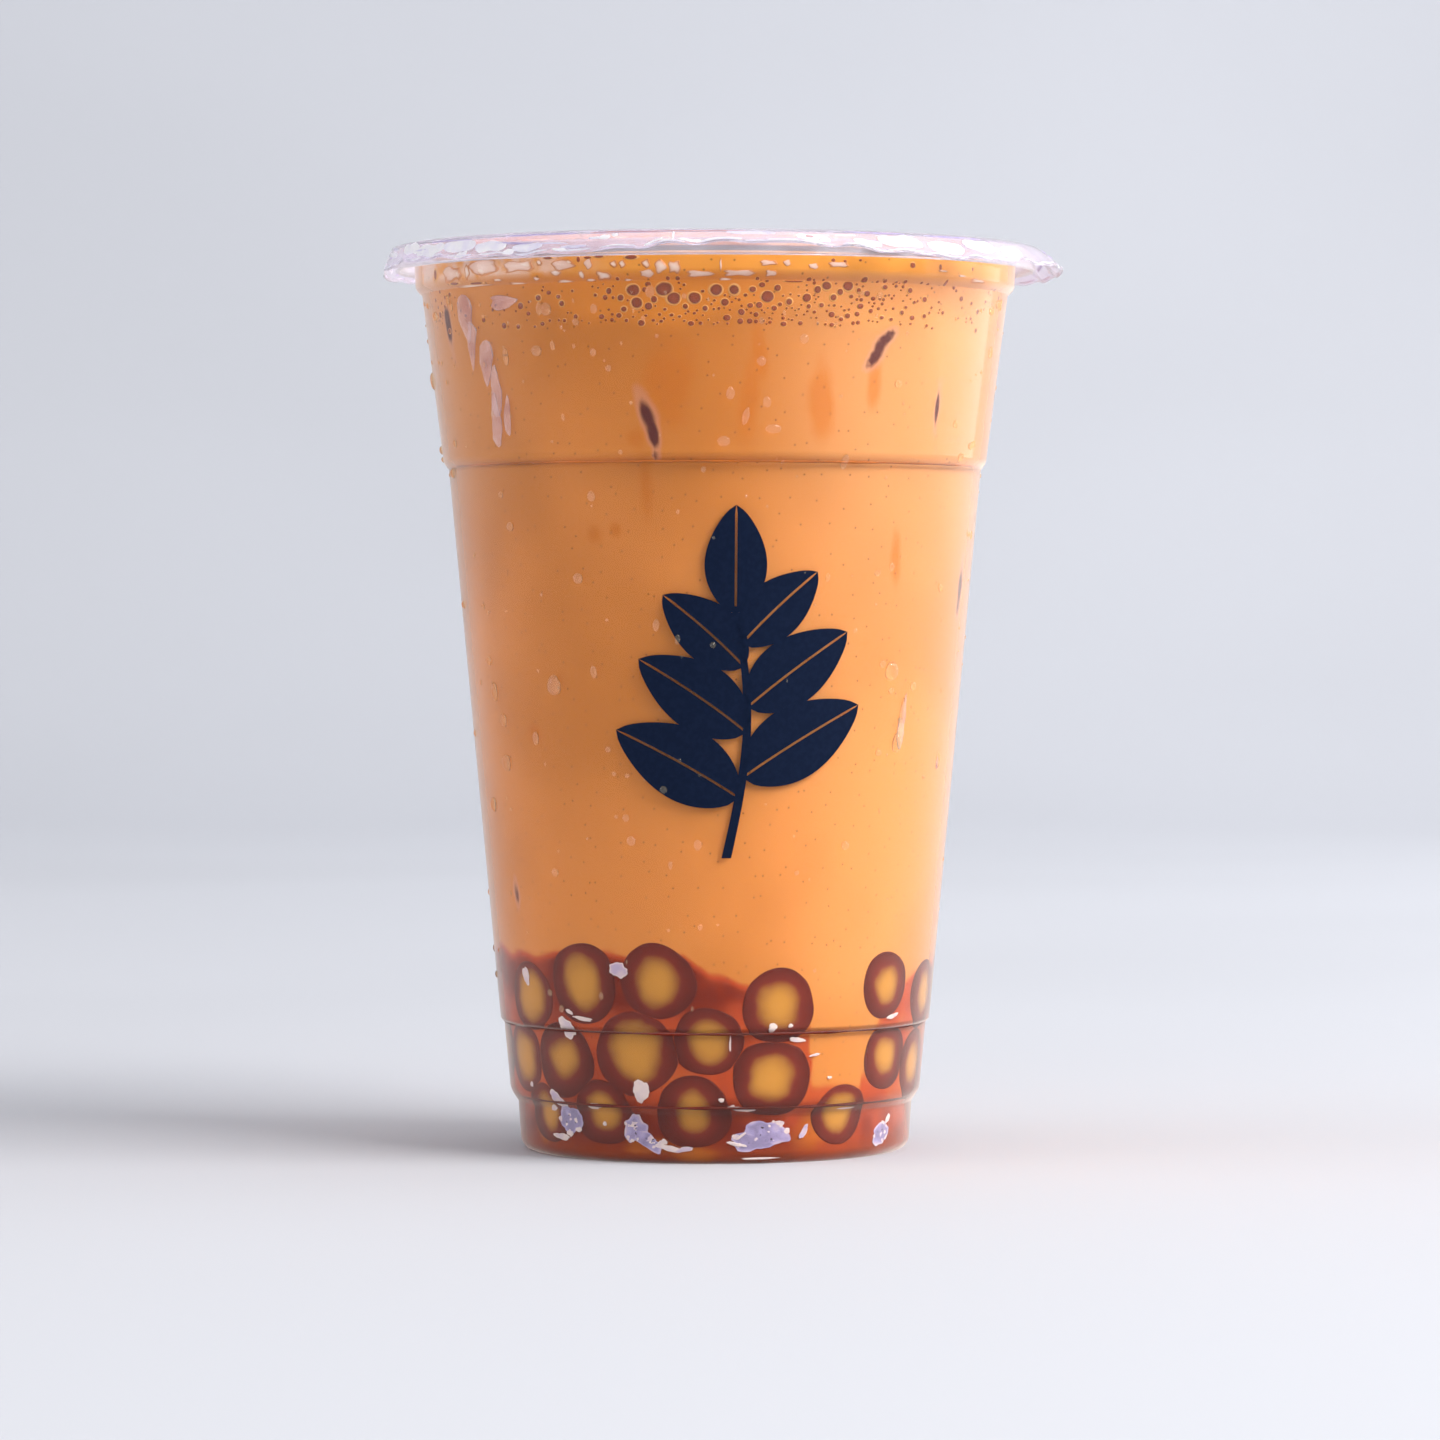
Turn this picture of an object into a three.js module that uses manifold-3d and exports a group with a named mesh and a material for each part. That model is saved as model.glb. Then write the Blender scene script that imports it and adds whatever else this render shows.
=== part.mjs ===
import * as THREE from 'three';
import { mergeVertices } from 'three/addons/utils/BufferGeometryUtils.js';
import Module from 'manifold-3d';

// A takeaway cup of milk tea with tapioca pearls, shut with a heat-sealed film.
// Millimetres, +Z up. The origin is the middle of the foot, on the ground. The front looks
// towards -Y, and an angle round the cup counts from the front towards +X, in degrees.

// The cup, thermoformed from clear sheet. Its rim takes a 95 mm sealing ring.
const RIM_DIAMETER = 95;
const CUP_HEIGHT = 133.3;
const WALL = 0.85;
const FLANGE = 1.0;
const LIP_DROP = 3.4;
const LIP_THICKNESS = 0.75;
const RIM_ROUND = 0.9;
const ROUND_SEGMENTS = 36;

// The foot is a flat ring round a raised middle.
const FOOT_RING_INNER = 24.9;
const FOOT_RING_OUTER = 27.2;
const FOOT_RECESS = 1.3;
const FOOT_SLOPE = 1.0;
const FLOOR_THICKNESS = 0.9;
const FLOOR_HEIGHT = FOOT_RECESS + FLOOR_THICKNESS;
// The slope inside starts this much further out than the one underneath.
const SLOPE_SHIFT = 0.63;

// Straight bands of the outer wall, from the foot to the neck, as [radius, height] at both
// ends. A rounded ledge joins each band to the wider one above it.
const BANDS = [
  { from: [28.9, 1.9], to: [29.25, 7.1] },
  { from: [30.5, 9.8], to: [31.35, 18.9] },
  { from: [31.9, 19.6], to: [39.5, 100.7] },
  { from: [40.35, 102.4], to: [43.45, 126.5] },
  { from: [44.45, 127.9], to: [44.65, CUP_HEIGHT - FLANGE] },
];
const CORNER_STEPS = 2;
// A ledge lower than this is one plain slope.
const PLAIN_LEDGE = 1;
// The inner face is the outer wall moved in by WALL and up by this much.
const INNER_LIFT = 0.35;

// The drink stands almost at the film. Contents stay this far from the cup.
const DRINK_LEVEL = 131;
const CONTENT_GAP = 0.3;

// The film lies on the flange, and its trimmed skirt droops outside the lip.
const FILM_THICKNESS = 0.3;
const FILM_FLAT_RADIUS = 46.6;
const SKIRT_START_RADIUS = 47.9;
const SKIRT_START_DROP = 0.3;
const SKIRT_REACH = 50.2;
const SKIRT_SHIFT = 0.7;
const SKIRT_EDGE_HEIGHT = 130.9;
const SKIRT_SIDE_DROOP = 1.3;
const SKIRT_STEPS = 3;
const ROUNDING = 0.01;
// Waves of the skirt's edge, because film shrinks unevenly where it is sealed and trimmed.
const REACH_WAVES = [
  { size: 0.3, count: 3, phase: 0.6 },
  { size: 0.2, count: 8, phase: 2.0 },
];
const HEIGHT_WAVES = [{ size: 0.5, count: 5, phase: 1.0 }];

// The pearls that show at the front: angle round the cup, height of the middle, radius.
const SHOWN_PEARLS = [
  { angle: -36.7, height: 26.2, radius: 5.9 },
  { angle: -14.9, height: 26.8, radius: 5.7 },
  { angle: 16.9, height: 23.2, radius: 5.6 },
  { angle: -21.9, height: 16.3, radius: 6.4 },
  { angle: -1.9, height: 18.2, radius: 5.2 },
  { angle: -45.9, height: 14.8, radius: 5.8 },
  { angle: 15.4, height: 12.6, radius: 5.9 },
  { angle: -6.1, height: 8.0, radius: 5.6 },
  { angle: 38.0, height: 7.2, radius: 4.8 },
  { angle: 51.3, height: 25.6, radius: 5.0 },
  { angle: 54.4, height: 15.0, radius: 5.0 },
  { angle: 73.0, height: 23.7, radius: 5.2 },
  { angle: 71.8, height: 13.4, radius: 5.2 },
  { angle: -57.0, height: 23.8, radius: 5.2 },
  { angle: -33.5, height: 7.6, radius: 5.2 },
  { angle: -65.0, height: 14.6, radius: 5.2 },
  { angle: -56.2, height: 6.8, radius: 4.8 },
];

// The rest of the heap stands in rings of pearls on the sides and back.
const HIDDEN_FROM = 84;
const HIDDEN_TO = 284;
const HIDDEN_ROWS = [
  { height: 7.6, count: 8, stagger: 0.25 },
  { height: 16.2, count: 8, stagger: 0.75 },
  { height: 25.0, count: 8, stagger: 0.25 },
];
// How far a pearl may stand off its place in the row, as a share of the pitch.
const ROW_UNEVENNESS = 0.2;
const PEARL_RADIUS = 5.4;
const PEARL_VARIATION = 0.4;
const PEARL_SHIFT = 1.2;
const PEARL_SEED = 20251;
// Each pearl is pressed flat against the wall by this depth.
const PEARL_PRESS = 0.8;
const PEARL_FACE = 2.4;
const PEARL_SIDES = 7;
const PEARL_RINGS = 5;

// The inside of the heap is one solid core, this far in from the wall.
const CORE_INSET = 5;
const CORE_TOP = 24;
const CORE_CROWN = 3;
const CORE_SEGMENTS = 16;
// The crown turns down at this share of the core's radius, this share of the crown down.
const CROWN_TURN = 0.7;
const CROWN_FALL = 0.2;

const wasm = await Module();
wasm.setup();

// Random numbers from 0 to 1 that come out the same each time.
function seededRandom(seed) {
  let state = seed;
  return () => {
    state = (state + 0x6d2b79f5) | 0;
    let mixed = Math.imul(state ^ (state >>> 15), 1 | state);
    mixed = (mixed + Math.imul(mixed ^ (mixed >>> 7), 61 | mixed)) ^ mixed;
    return ((mixed ^ (mixed >>> 14)) >>> 0) / 4294967296;
  };
}

// A round body from [radius, height] points, with its axis along +Z.
function turned(profile, segments) {
  const points = profile.map(([radius, height]) => new THREE.Vector2(radius, height));
  const geometry = new THREE.LatheGeometry(points, segments);
  geometry.rotateX(Math.PI / 2);
  return geometry;
}

// A rounded ledge: it leaves the lower band outwards and meets the upper band upright.
function ledge([lowRadius, lowHeight], [highRadius, highHeight]) {
  const points = [];
  const steps = highHeight - lowHeight < PLAIN_LEDGE ? 1 : CORNER_STEPS;
  for (let step = 1; step < steps; step += 1) {
    const share = step / steps;
    const radius = lowRadius + (highRadius - lowRadius) * Math.sin((share * Math.PI) / 2);
    points.push([radius, lowHeight + (highHeight - lowHeight) * share]);
  }
  return points;
}

// A quarter round from a level run at [radius, height] out and up to an upright one.
function footCorner([radius, height], [endRadius, endHeight]) {
  const points = [];
  for (let step = 0; step < CORNER_STEPS; step += 1) {
    const turn = (step / CORNER_STEPS) * (Math.PI / 2);
    const out = (endRadius - radius) * Math.sin(turn);
    points.push([radius + out, height + (endHeight - height) * (1 - Math.cos(turn))]);
  }
  return points;
}

// The stepped wall from the lowest band to the neck, moved by [radius, height].
function steppedWall([shiftRadius, shiftHeight]) {
  const points = [];
  BANDS.forEach((band, index) => {
    if (index > 0) {
      points.push(...ledge(BANDS[index - 1].to, band.from));
    }
    points.push(band.from, band.to);
  });
  return points.map(([radius, height]) => [radius + shiftRadius, height + shiftHeight]);
}

// The inner face of the cup from the middle of its floor to its neck, drawn in by gap.
function cupInside(gap) {
  const middle = FLOOR_HEIGHT + gap;
  const ring = FLOOR_THICKNESS + gap;
  const slopeTop = FOOT_RING_INNER - FOOT_SLOPE + SLOPE_SHIFT + gap;
  const wall = steppedWall([-WALL - gap, INNER_LIFT + gap / 2]);
  const cornerStart = [FOOT_RING_OUTER - WALL / 2 - gap, ring];
  return [
    [0, middle],
    [slopeTop, middle],
    [slopeTop + FOOT_SLOPE, ring],
    ...footCorner(cornerStart, wall[0]),
    ...wall,
  ];
}

// The radius of the inner face at a height.
function insideRadius(height) {
  const wall = cupInside(0).slice(3);
  const above = Math.max(1, wall.findIndex((point) => point[1] >= height));
  const [lowRadius, lowHeight] = wall[above - 1];
  const [highRadius, highHeight] = wall[above];
  const share = THREE.MathUtils.clamp((height - lowHeight) / (highHeight - lowHeight), 0, 1);
  return lowRadius + (highRadius - lowRadius) * share;
}

function cupGeometry() {
  const rimRadius = RIM_DIAMETER / 2;
  const underFlange = CUP_HEIGHT - FLANGE;
  const lipBottom = CUP_HEIGHT - LIP_DROP;
  const neck = BANDS[BANDS.length - 1].to[0];
  const roundMiddle = RIM_ROUND * (1 - Math.SQRT1_2);
  const inner = cupInside(0).slice(0, -1).reverse();
  const outer = [
    [0, FOOT_RECESS],
    [FOOT_RING_INNER - FOOT_SLOPE, FOOT_RECESS],
    [FOOT_RING_INNER, 0],
    ...footCorner([FOOT_RING_OUTER, 0], BANDS[0].from),
    ...steppedWall([0, 0]),
    [rimRadius - LIP_THICKNESS, underFlange],
    [rimRadius - LIP_THICKNESS, lipBottom],
    [rimRadius - LIP_THICKNESS / 4, lipBottom],
    [rimRadius, lipBottom + LIP_THICKNESS / 2],
    [rimRadius, CUP_HEIGHT - RIM_ROUND],
    [rimRadius - roundMiddle, CUP_HEIGHT - roundMiddle],
    [rimRadius - RIM_ROUND, CUP_HEIGHT],
    [neck - WALL + RIM_ROUND, CUP_HEIGHT],
    [neck - WALL, CUP_HEIGHT - RIM_ROUND],
  ];
  return turned([...outer, ...inner], ROUND_SEGMENTS);
}

function waveSum(waves, angle) {
  return waves.reduce((sum, wave) => sum + wave.size * Math.sin(wave.count * angle + wave.phase), 0);
}

// The reach and the height of the skirt's edge at an angle round the cup. The film was laid
// a little to the right, and it droops further at both sides than at the front and back.
function skirtEdge(angle) {
  const side = Math.sin(angle);
  return {
    reach: SKIRT_REACH + SKIRT_SHIFT * side + waveSum(REACH_WAVES, angle),
    height: SKIRT_EDGE_HEIGHT - SKIRT_SIDE_DROOP * side ** 2 + waveSum(HEIGHT_WAVES, angle),
  };
}

function filmGeometry() {
  const bottom = [[0, CUP_HEIGHT], [FILM_FLAT_RADIUS, CUP_HEIGHT]];
  for (let step = 0; step <= SKIRT_STEPS; step += 1) {
    const radius = SKIRT_START_RADIUS + (SKIRT_REACH - SKIRT_START_RADIUS) * (step / SKIRT_STEPS);
    bottom.push([radius, CUP_HEIGHT - SKIRT_START_DROP]);
  }
  const top = bottom.map(([radius, height]) => [radius, height + FILM_THICKNESS]).reverse();
  const geometry = turned([...bottom, ...top], ROUND_SEGMENTS);
  const places = geometry.attributes.position;
  const startHeight = CUP_HEIGHT - SKIRT_START_DROP;
  for (let index = 0; index < places.count; index += 1) {
    const x = places.getX(index);
    const y = places.getY(index);
    const radius = Math.hypot(x, y);
    if (radius > SKIRT_START_RADIUS + ROUNDING) {
      const share = (radius - SKIRT_START_RADIUS) / (SKIRT_REACH - SKIRT_START_RADIUS);
      const edge = skirtEdge(Math.atan2(x, -y));
      const newRadius = SKIRT_START_RADIUS + (edge.reach - SKIRT_START_RADIUS) * share;
      const drop = (startHeight - edge.height) * share;
      const scale = newRadius / radius;
      places.setXYZ(index, x * scale, y * scale, places.getZ(index) - drop);
    }
  }
  return geometry;
}

// All pearls of the heap, those that show first.
function pearlList() {
  const random = seededRandom(PEARL_SEED);
  const pearls = [...SHOWN_PEARLS];
  HIDDEN_ROWS.forEach((row) => {
    const pitch = (HIDDEN_TO - HIDDEN_FROM) / row.count;
    for (let index = 0; index < row.count; index += 1) {
      const place = index + row.stagger + (random() - 0.5) * ROW_UNEVENNESS;
      pearls.push({
        angle: HIDDEN_FROM + place * pitch,
        height: row.height + (random() - 0.5) * 2 * PEARL_SHIFT,
        radius: PEARL_RADIUS + (random() - 0.5) * 2 * PEARL_VARIATION,
      });
    }
  });
  return pearls;
}

// How far the flat face of a pearl lies from the cup's axis, clear of the wall.
function pressedDistance(pearl) {
  const faceRadius = insideRadius(pearl.height - PEARL_FACE) - CONTENT_GAP;
  return Math.sqrt(faceRadius ** 2 - PEARL_FACE ** 2);
}

// A ball in the place of a pearl, with its surface moved out by grow.
function pearlBall(pearl, grow) {
  const geometry = new THREE.SphereGeometry(pearl.radius + grow, PEARL_SIDES, PEARL_RINGS);
  geometry.translate(0, pearl.radius - PEARL_PRESS - pressedDistance(pearl), pearl.height);
  return geometry;
}

// One pearl. Its outer side is pressed flat on the wall, and its underside on the floor.
function pearlGeometry(pearl) {
  const geometry = pearlBall(pearl, 0);
  const places = geometry.attributes.position;
  for (let index = 0; index < places.count; index += 1) {
    places.setY(index, Math.max(places.getY(index), -pressedDistance(pearl)));
    places.setZ(index, Math.max(places.getZ(index), FLOOR_HEIGHT + CONTENT_GAP));
  }
  return geometry.rotateZ(THREE.MathUtils.degToRad(pearl.angle));
}

// The room that a pearl takes out of the drink, open at the wall and at the floor.
function pearlRoomGeometry(pearl) {
  return pearlBall(pearl, CONTENT_GAP).rotateZ(THREE.MathUtils.degToRad(pearl.angle));
}

// The core of the heap, a low crowned plug that starts at the given height.
function coreGeometry(bottom, grow) {
  const shoulder = CORE_TOP - CORE_CROWN;
  const lowRadius = insideRadius(FLOOR_HEIGHT) - CORE_INSET + grow;
  const highRadius = insideRadius(shoulder) - CORE_INSET + grow;
  const profile = [
    [0, bottom],
    [lowRadius, bottom],
    [highRadius, shoulder + grow],
    [highRadius * CROWN_TURN, CORE_TOP - CORE_CROWN * CROWN_FALL + grow],
    [0, CORE_TOP + grow],
  ];
  return turned(profile, CORE_SEGMENTS);
}

// A closed mesh as a solid that can be joined and cut.
function solidOf(geometry) {
  const bare = geometry.clone();
  bare.deleteAttribute('normal');
  bare.deleteAttribute('uv');
  const merged = mergeVertices(bare);
  const order = merged.index.array;
  const triangles = [];
  for (let index = 0; index < order.length; index += 3) {
    const [a, b, c] = [order[index], order[index + 1], order[index + 2]];
    if (a !== b && b !== c && c !== a) {
      triangles.push(a, b, c);
    }
  }
  return new wasm.Manifold(new wasm.Mesh({
    numProp: 3,
    vertProperties: new Float32Array(merged.attributes.position.array),
    triVerts: new Uint32Array(triangles),
  }));
}

function geometryOf(solid) {
  const mesh = solid.getMesh();
  const geometry = new THREE.BufferGeometry();
  geometry.setAttribute('position', new THREE.BufferAttribute(mesh.vertProperties, 3));
  geometry.setIndex(new THREE.BufferAttribute(mesh.triVerts, 1));
  geometry.computeVertexNormals();
  return geometry;
}

// Several closed meshes joined into one solid.
function joined(geometries) {
  return geometries.map(solidOf).reduce((whole, solid) => whole.add(solid));
}

// The inside of the cup up to a level, drawn in by the gap that contents keep.
function contentSolid(level) {
  const inside = cupInside(CONTENT_GAP).filter((point) => point[1] < level);
  const edge = insideRadius(level) - CONTENT_GAP;
  return solidOf(turned([...inside, [edge, level], [0, level]], ROUND_SEGMENTS));
}

// The one body that is left when loose scraps between the pearls are dropped.
function largestBody(solid) {
  const bodies = solid.decompose();
  return bodies.reduce((best, body) => (body.volume() > best.volume() ? body : best));
}

const pearls = pearlList();
const heap = joined([
  coreGeometry(FLOOR_HEIGHT + CONTENT_GAP, 0),
  ...pearls.map(pearlGeometry),
]);
const heapRoom = joined([
  coreGeometry(0, CONTENT_GAP),
  ...pearls.map(pearlRoomGeometry),
]);
const drink = largestBody(contentSolid(DRINK_LEVEL).subtract(heapRoom));

// Materials: clear plastic, milk tea, dark syrup-soaked tapioca and clear film.
const clearPlastic = new THREE.MeshStandardMaterial({
  color: 0xf4f4f2,
  roughness: 0.08,
  metalness: 0,
  transparent: true,
  opacity: 0.25,
});
const milkTea = new THREE.MeshStandardMaterial({ color: 0xe59a57, roughness: 0.35, metalness: 0 });
const tapioca = new THREE.MeshStandardMaterial({ color: 0x6b2f28, roughness: 0.25, metalness: 0 });
const clearFilm = new THREE.MeshStandardMaterial({
  color: 0xe4e4f2,
  roughness: 0.12,
  metalness: 0,
  transparent: true,
  opacity: 0.4,
});

function named(name, geometry, material) {
  const mesh = new THREE.Mesh(geometry, material);
  mesh.name = name;
  return mesh;
}

const bubbleTea = new THREE.Group();
bubbleTea.add(
  named('cup', cupGeometry(), clearPlastic),
  named('drink', geometryOf(drink), milkTea),
  named('pearls', geometryOf(heap), tapioca),
  named('seal_film', filmGeometry(), clearFilm),
);

export default bubbleTea;
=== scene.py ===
import math
import random

import bpy
import numpy as np
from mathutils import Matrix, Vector


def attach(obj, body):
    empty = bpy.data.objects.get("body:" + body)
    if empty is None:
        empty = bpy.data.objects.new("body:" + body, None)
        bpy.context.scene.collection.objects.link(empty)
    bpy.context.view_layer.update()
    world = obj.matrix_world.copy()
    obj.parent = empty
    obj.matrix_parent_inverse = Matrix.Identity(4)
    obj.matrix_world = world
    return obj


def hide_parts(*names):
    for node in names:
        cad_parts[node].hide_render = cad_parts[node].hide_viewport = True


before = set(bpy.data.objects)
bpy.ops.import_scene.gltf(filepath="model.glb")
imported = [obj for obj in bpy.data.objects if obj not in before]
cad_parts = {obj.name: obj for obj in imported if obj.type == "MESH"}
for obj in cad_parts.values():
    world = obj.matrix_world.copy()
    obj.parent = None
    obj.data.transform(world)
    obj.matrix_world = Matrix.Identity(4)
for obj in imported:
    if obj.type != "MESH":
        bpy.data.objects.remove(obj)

bl_info = {
    "name": "Bubble tea in a sealed cup",
    "version": (1, 0, 0),
    "blender": (4, 5, 0),
    "location": "3D View > Sidebar > Bubble tea",
    "description": "Makes a takeaway cup of milk tea with tapioca pearls, piece by piece",
    "category": "Add Mesh",
}

# Sizes are in millimetres. A place on the cup is an angle round it, in degrees from the
# front towards +X, and a height over the surface that the cup stands on.
MM = 0.001

# The outer wall: straight bands from the foot to the neck, as (radius, height) at both ends.
BANDS = (
    ((28.9, 1.9), (29.25, 7.1)),
    ((30.5, 9.8), (31.35, 18.9)),
    ((31.9, 19.6), (39.5, 100.7)),
    ((40.35, 102.4), (43.45, 126.5)),
    ((44.45, 127.9), (44.65, 132.3)),
)
LEDGE_STEPS = 8
FOOT_STEPS = 6
RIM_STEPS = 5
# The inner face follows the outer one, WALL further in and INNER_LIFT higher up.
WALL = 0.85
INNER_LIFT = 0.35
# Radii of the rings underneath and inside: where the slope starts and ends, and the corner starts.
FOOT_RING = (23.9, 24.9, 27.2)
FLOOR_RING = (24.53, 25.53, 26.775)
FOOT_RECESS = 1.3
FLOOR_HEIGHT = 2.2
FLOOR_RING_HEIGHT = 0.9
RIM_RADIUS = 47.5
RIM_ROUND = 0.9
CUP_HEIGHT = 133.3
FLANGE = 1.0
LIP_DROP = 3.4
LIP_THICKNESS = 0.75
DRINK_LEVEL = 131.0
MEAN_RADIUS = 38.0
# How many millimetres one unit of the wall's UV map is.
WRAP_UNIT = 100

# How far each layer reaches into the cup's wall, so that no air shows between them.
TEA_DEPTH = 0.22
PEARL_DEPTH = 0.31
POCKET_DEPTH = 0.38


def linear(red, green, blue):
    """A display colour from 0 to 255 as the linear colour that shaders take."""
    parts = [value / 255 for value in (red, green, blue)]
    return tuple(p / 12.92 if p <= 0.04045 else ((p + 0.055) / 1.055) ** 2.4 for p in parts)


def solid(colour):
    """A colour with its alpha."""
    return (colour[0], colour[1], colour[2], 1.0)


def arc(middle, radius, start, end, steps):
    """Points of an arc in an outline, from start to end in degrees."""
    turns = [math.radians(start + (end - start) * step / steps) for step in range(steps + 1)]
    return [(middle[0] + radius * math.cos(t), middle[1] + radius * math.sin(t)) for t in turns]


def ledge(low, high):
    """A rounded ledge that leaves the lower band outwards and meets the upper one upright."""
    shares = [step / LEDGE_STEPS for step in range(1, LEDGE_STEPS)]
    return [
        (low[0] + (high[0] - low[0]) * math.sin(s * math.pi / 2), low[1] + (high[1] - low[1]) * s)
        for s in shares
    ]


def foot_corner(start, end):
    """A quarter round from a level run out and up to an upright one."""
    turns = [step / FOOT_STEPS * math.pi / 2 for step in range(FOOT_STEPS)]
    out = end[0] - start[0]
    up = end[1] - start[1]
    return [(start[0] + out * math.sin(t), start[1] + up * (1 - math.cos(t))) for t in turns]


def stepped_wall():
    """The outer wall from the lowest band to the neck."""
    points = []
    for index, (start, end) in enumerate(BANDS):
        if index:
            points += ledge(BANDS[index - 1][1], start)
        points += [start, end]
    return points


OUTER_WALL = np.array(stepped_wall())


def outer_radius(height):
    """The radius of the outer wall at a height."""
    return np.interp(height, OUTER_WALL[:, 1], OUTER_WALL[:, 0])


def inner_radius(height):
    """The radius of the inner face of the wall at a height."""
    return outer_radius(np.asarray(height) - INNER_LIFT) - WALL


def inner_floor(grow=0.0):
    """The inside of the floor, from its middle to the wall, moved outwards by grow."""
    wall_start = (BANDS[0][0][0] - WALL + grow, BANDS[0][0][1] + INNER_LIFT)
    ring = FLOOR_RING_HEIGHT - grow
    return [
        (0.0, FLOOR_HEIGHT - grow),
        (FLOOR_RING[0] + grow, FLOOR_HEIGHT - grow),
        (FLOOR_RING[1] + grow, ring),
        *foot_corner((FLOOR_RING[2], ring), wall_start),
    ]


def cup_outline():
    """The whole section of the cup, from the middle underneath to the middle of its floor."""
    lip_middle = (RIM_RADIUS - LIP_THICKNESS / 2, CUP_HEIGHT - LIP_DROP + LIP_THICKNESS / 2)
    rim_level = CUP_HEIGHT - RIM_ROUND
    neck = BANDS[-1][1][0] - WALL
    inner = [(r - WALL, h + INNER_LIFT) for r, h in OUTER_WALL[:-1]]
    return [
        (0.0, FOOT_RECESS),
        (FOOT_RING[0], FOOT_RECESS),
        (FOOT_RING[1], 0.0),
        *foot_corner((FOOT_RING[2], 0.0), BANDS[0][0]),
        *[tuple(point) for point in OUTER_WALL],
        (RIM_RADIUS - LIP_THICKNESS, CUP_HEIGHT - FLANGE),
        *arc(lip_middle, LIP_THICKNESS / 2, 180, 360, RIM_STEPS),
        *arc((RIM_RADIUS - RIM_ROUND, rim_level), RIM_ROUND, 0, 90, RIM_STEPS),
        *arc((neck + RIM_ROUND, rim_level), RIM_ROUND, 90, 180, RIM_STEPS),
        *reversed(inner),
        *reversed(inner_floor()),
    ]


def waves(angle, parts):
    """A sum of waves round the cup, each given as how many there are, its size and its shift."""
    return sum(size * np.sin(count * angle + shift) for count, size, shift in parts)


def looked_up(value, pairs):
    """Reads a value from sorted pairs of a place and what it has there, straight between them."""
    table = np.array(pairs)
    return np.interp(value, table[:, 0], table[:, 1])


def deselect():
    """Leaves no object selected."""
    for item in bpy.context.selected_objects:
        item.select_set(False)


def edit(name):
    """Names the object that was just added, and opens it for editing with nothing selected."""
    piece = bpy.context.object
    piece.name = name
    piece.data.name = name
    bpy.context.tool_settings.mesh_select_mode = (True, False, False)
    bpy.ops.object.mode_set(mode="EDIT")
    return piece


def finish_edit(piece):
    """Merges doubles, turns all faces outwards and puts the place into the mesh."""
    bpy.ops.object.mode_set(mode="EDIT")
    bpy.ops.mesh.select_all(action="SELECT")
    bpy.ops.mesh.remove_doubles(threshold=0.002 * MM)
    bpy.ops.mesh.normals_make_consistent(inside=False)
    bpy.ops.object.mode_set(mode="OBJECT")
    bpy.ops.object.transform_apply(location=True, rotation=True, scale=True)
    return piece


def spun(name, outline, steps):
    """A round body, spun about Z from an outline that starts and ends on the axis."""
    deselect()
    bpy.ops.mesh.primitive_plane_add(size=MM, location=(0, 0, 0))
    piece = edit(name)
    bpy.ops.mesh.select_all(action="SELECT")
    bpy.ops.mesh.merge(type="CENTER")
    place = (0.0, 0.0)
    for index, (radius, height) in enumerate(outline):
        step = ((radius - place[0]) * MM, 0, (height - place[1]) * MM)
        if index:
            bpy.ops.mesh.extrude_region_move(TRANSFORM_OT_translate={"value": step})
        else:
            bpy.ops.transform.translate(value=step)
        place = (radius, height)
    bpy.ops.mesh.select_all(action="SELECT")
    bpy.ops.mesh.spin(steps=steps, angle=2 * math.pi, center=(0, 0, 0), axis=(0, 0, 1))
    finish_edit(piece)
    return piece


def join(pieces):
    """Joins pieces into the first of them."""
    deselect()
    for piece in pieces:
        piece.select_set(True)
    bpy.context.view_layer.objects.active = pieces[0]
    bpy.ops.object.join()
    return pieces[0]


def points_of(piece):
    """The places of a piece's vertices, in millimetres."""
    points = np.zeros(len(piece.data.vertices) * 3)
    piece.data.vertices.foreach_get("co", points)
    return points.reshape(-1, 3) / MM


def move_points(piece, points):
    """Puts a piece's vertices at places in millimetres."""
    piece.data.vertices.foreach_set("co", (np.asarray(points) * MM).ravel())
    piece.data.update()


def round_places(points):
    """The radius, the angle in radians from the front towards +X and the height of points."""
    radius = np.hypot(points[:, 0], points[:, 1])
    angle = np.arctan2(points[:, 0], -points[:, 1])
    return radius, angle, points[:, 2]


def from_round(radius, angle, height):
    """Points from their radius, angle and height."""
    return np.column_stack((radius * np.sin(angle), -radius * np.cos(angle), height))


def smooth(piece, limit):
    """Shades a piece smooth, apart from edges sharper than limit in degrees."""
    deselect()
    piece.select_set(True)
    bpy.context.view_layer.objects.active = piece
    bpy.ops.object.shade_smooth_by_angle(angle=math.radians(limit))


def wrap_uv(piece):
    """A UV map that unrolls the wall: the arc at the mean radius and the height."""
    mesh = piece.data
    corners = np.zeros(len(mesh.loops), dtype=int)
    starts = np.zeros(len(mesh.polygons), dtype=int)
    sizes = np.zeros(len(mesh.polygons), dtype=int)
    mesh.loops.foreach_get("vertex_index", corners)
    mesh.polygons.foreach_get("loop_start", starts)
    mesh.polygons.foreach_get("loop_total", sizes)
    _, angles, heights = round_places(points_of(piece))
    turns = angles[corners]
    first = np.repeat(turns[starts], sizes)
    turns = turns + 2 * math.pi * np.round((first - turns) / (2 * math.pi))
    places = np.column_stack((turns * MEAN_RADIUS, heights[corners])) / WRAP_UNIT
    mesh.uv_layers.new(name="wrap").data.foreach_set("uv", places.ravel())


def set_attribute(piece, name, values):
    """One number for each vertex, that the materials read."""
    layer = piece.data.attributes.new(name=name, type="FLOAT", domain="POINT")
    layer.data.foreach_set("value", np.asarray(values, dtype=np.float32))


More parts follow.
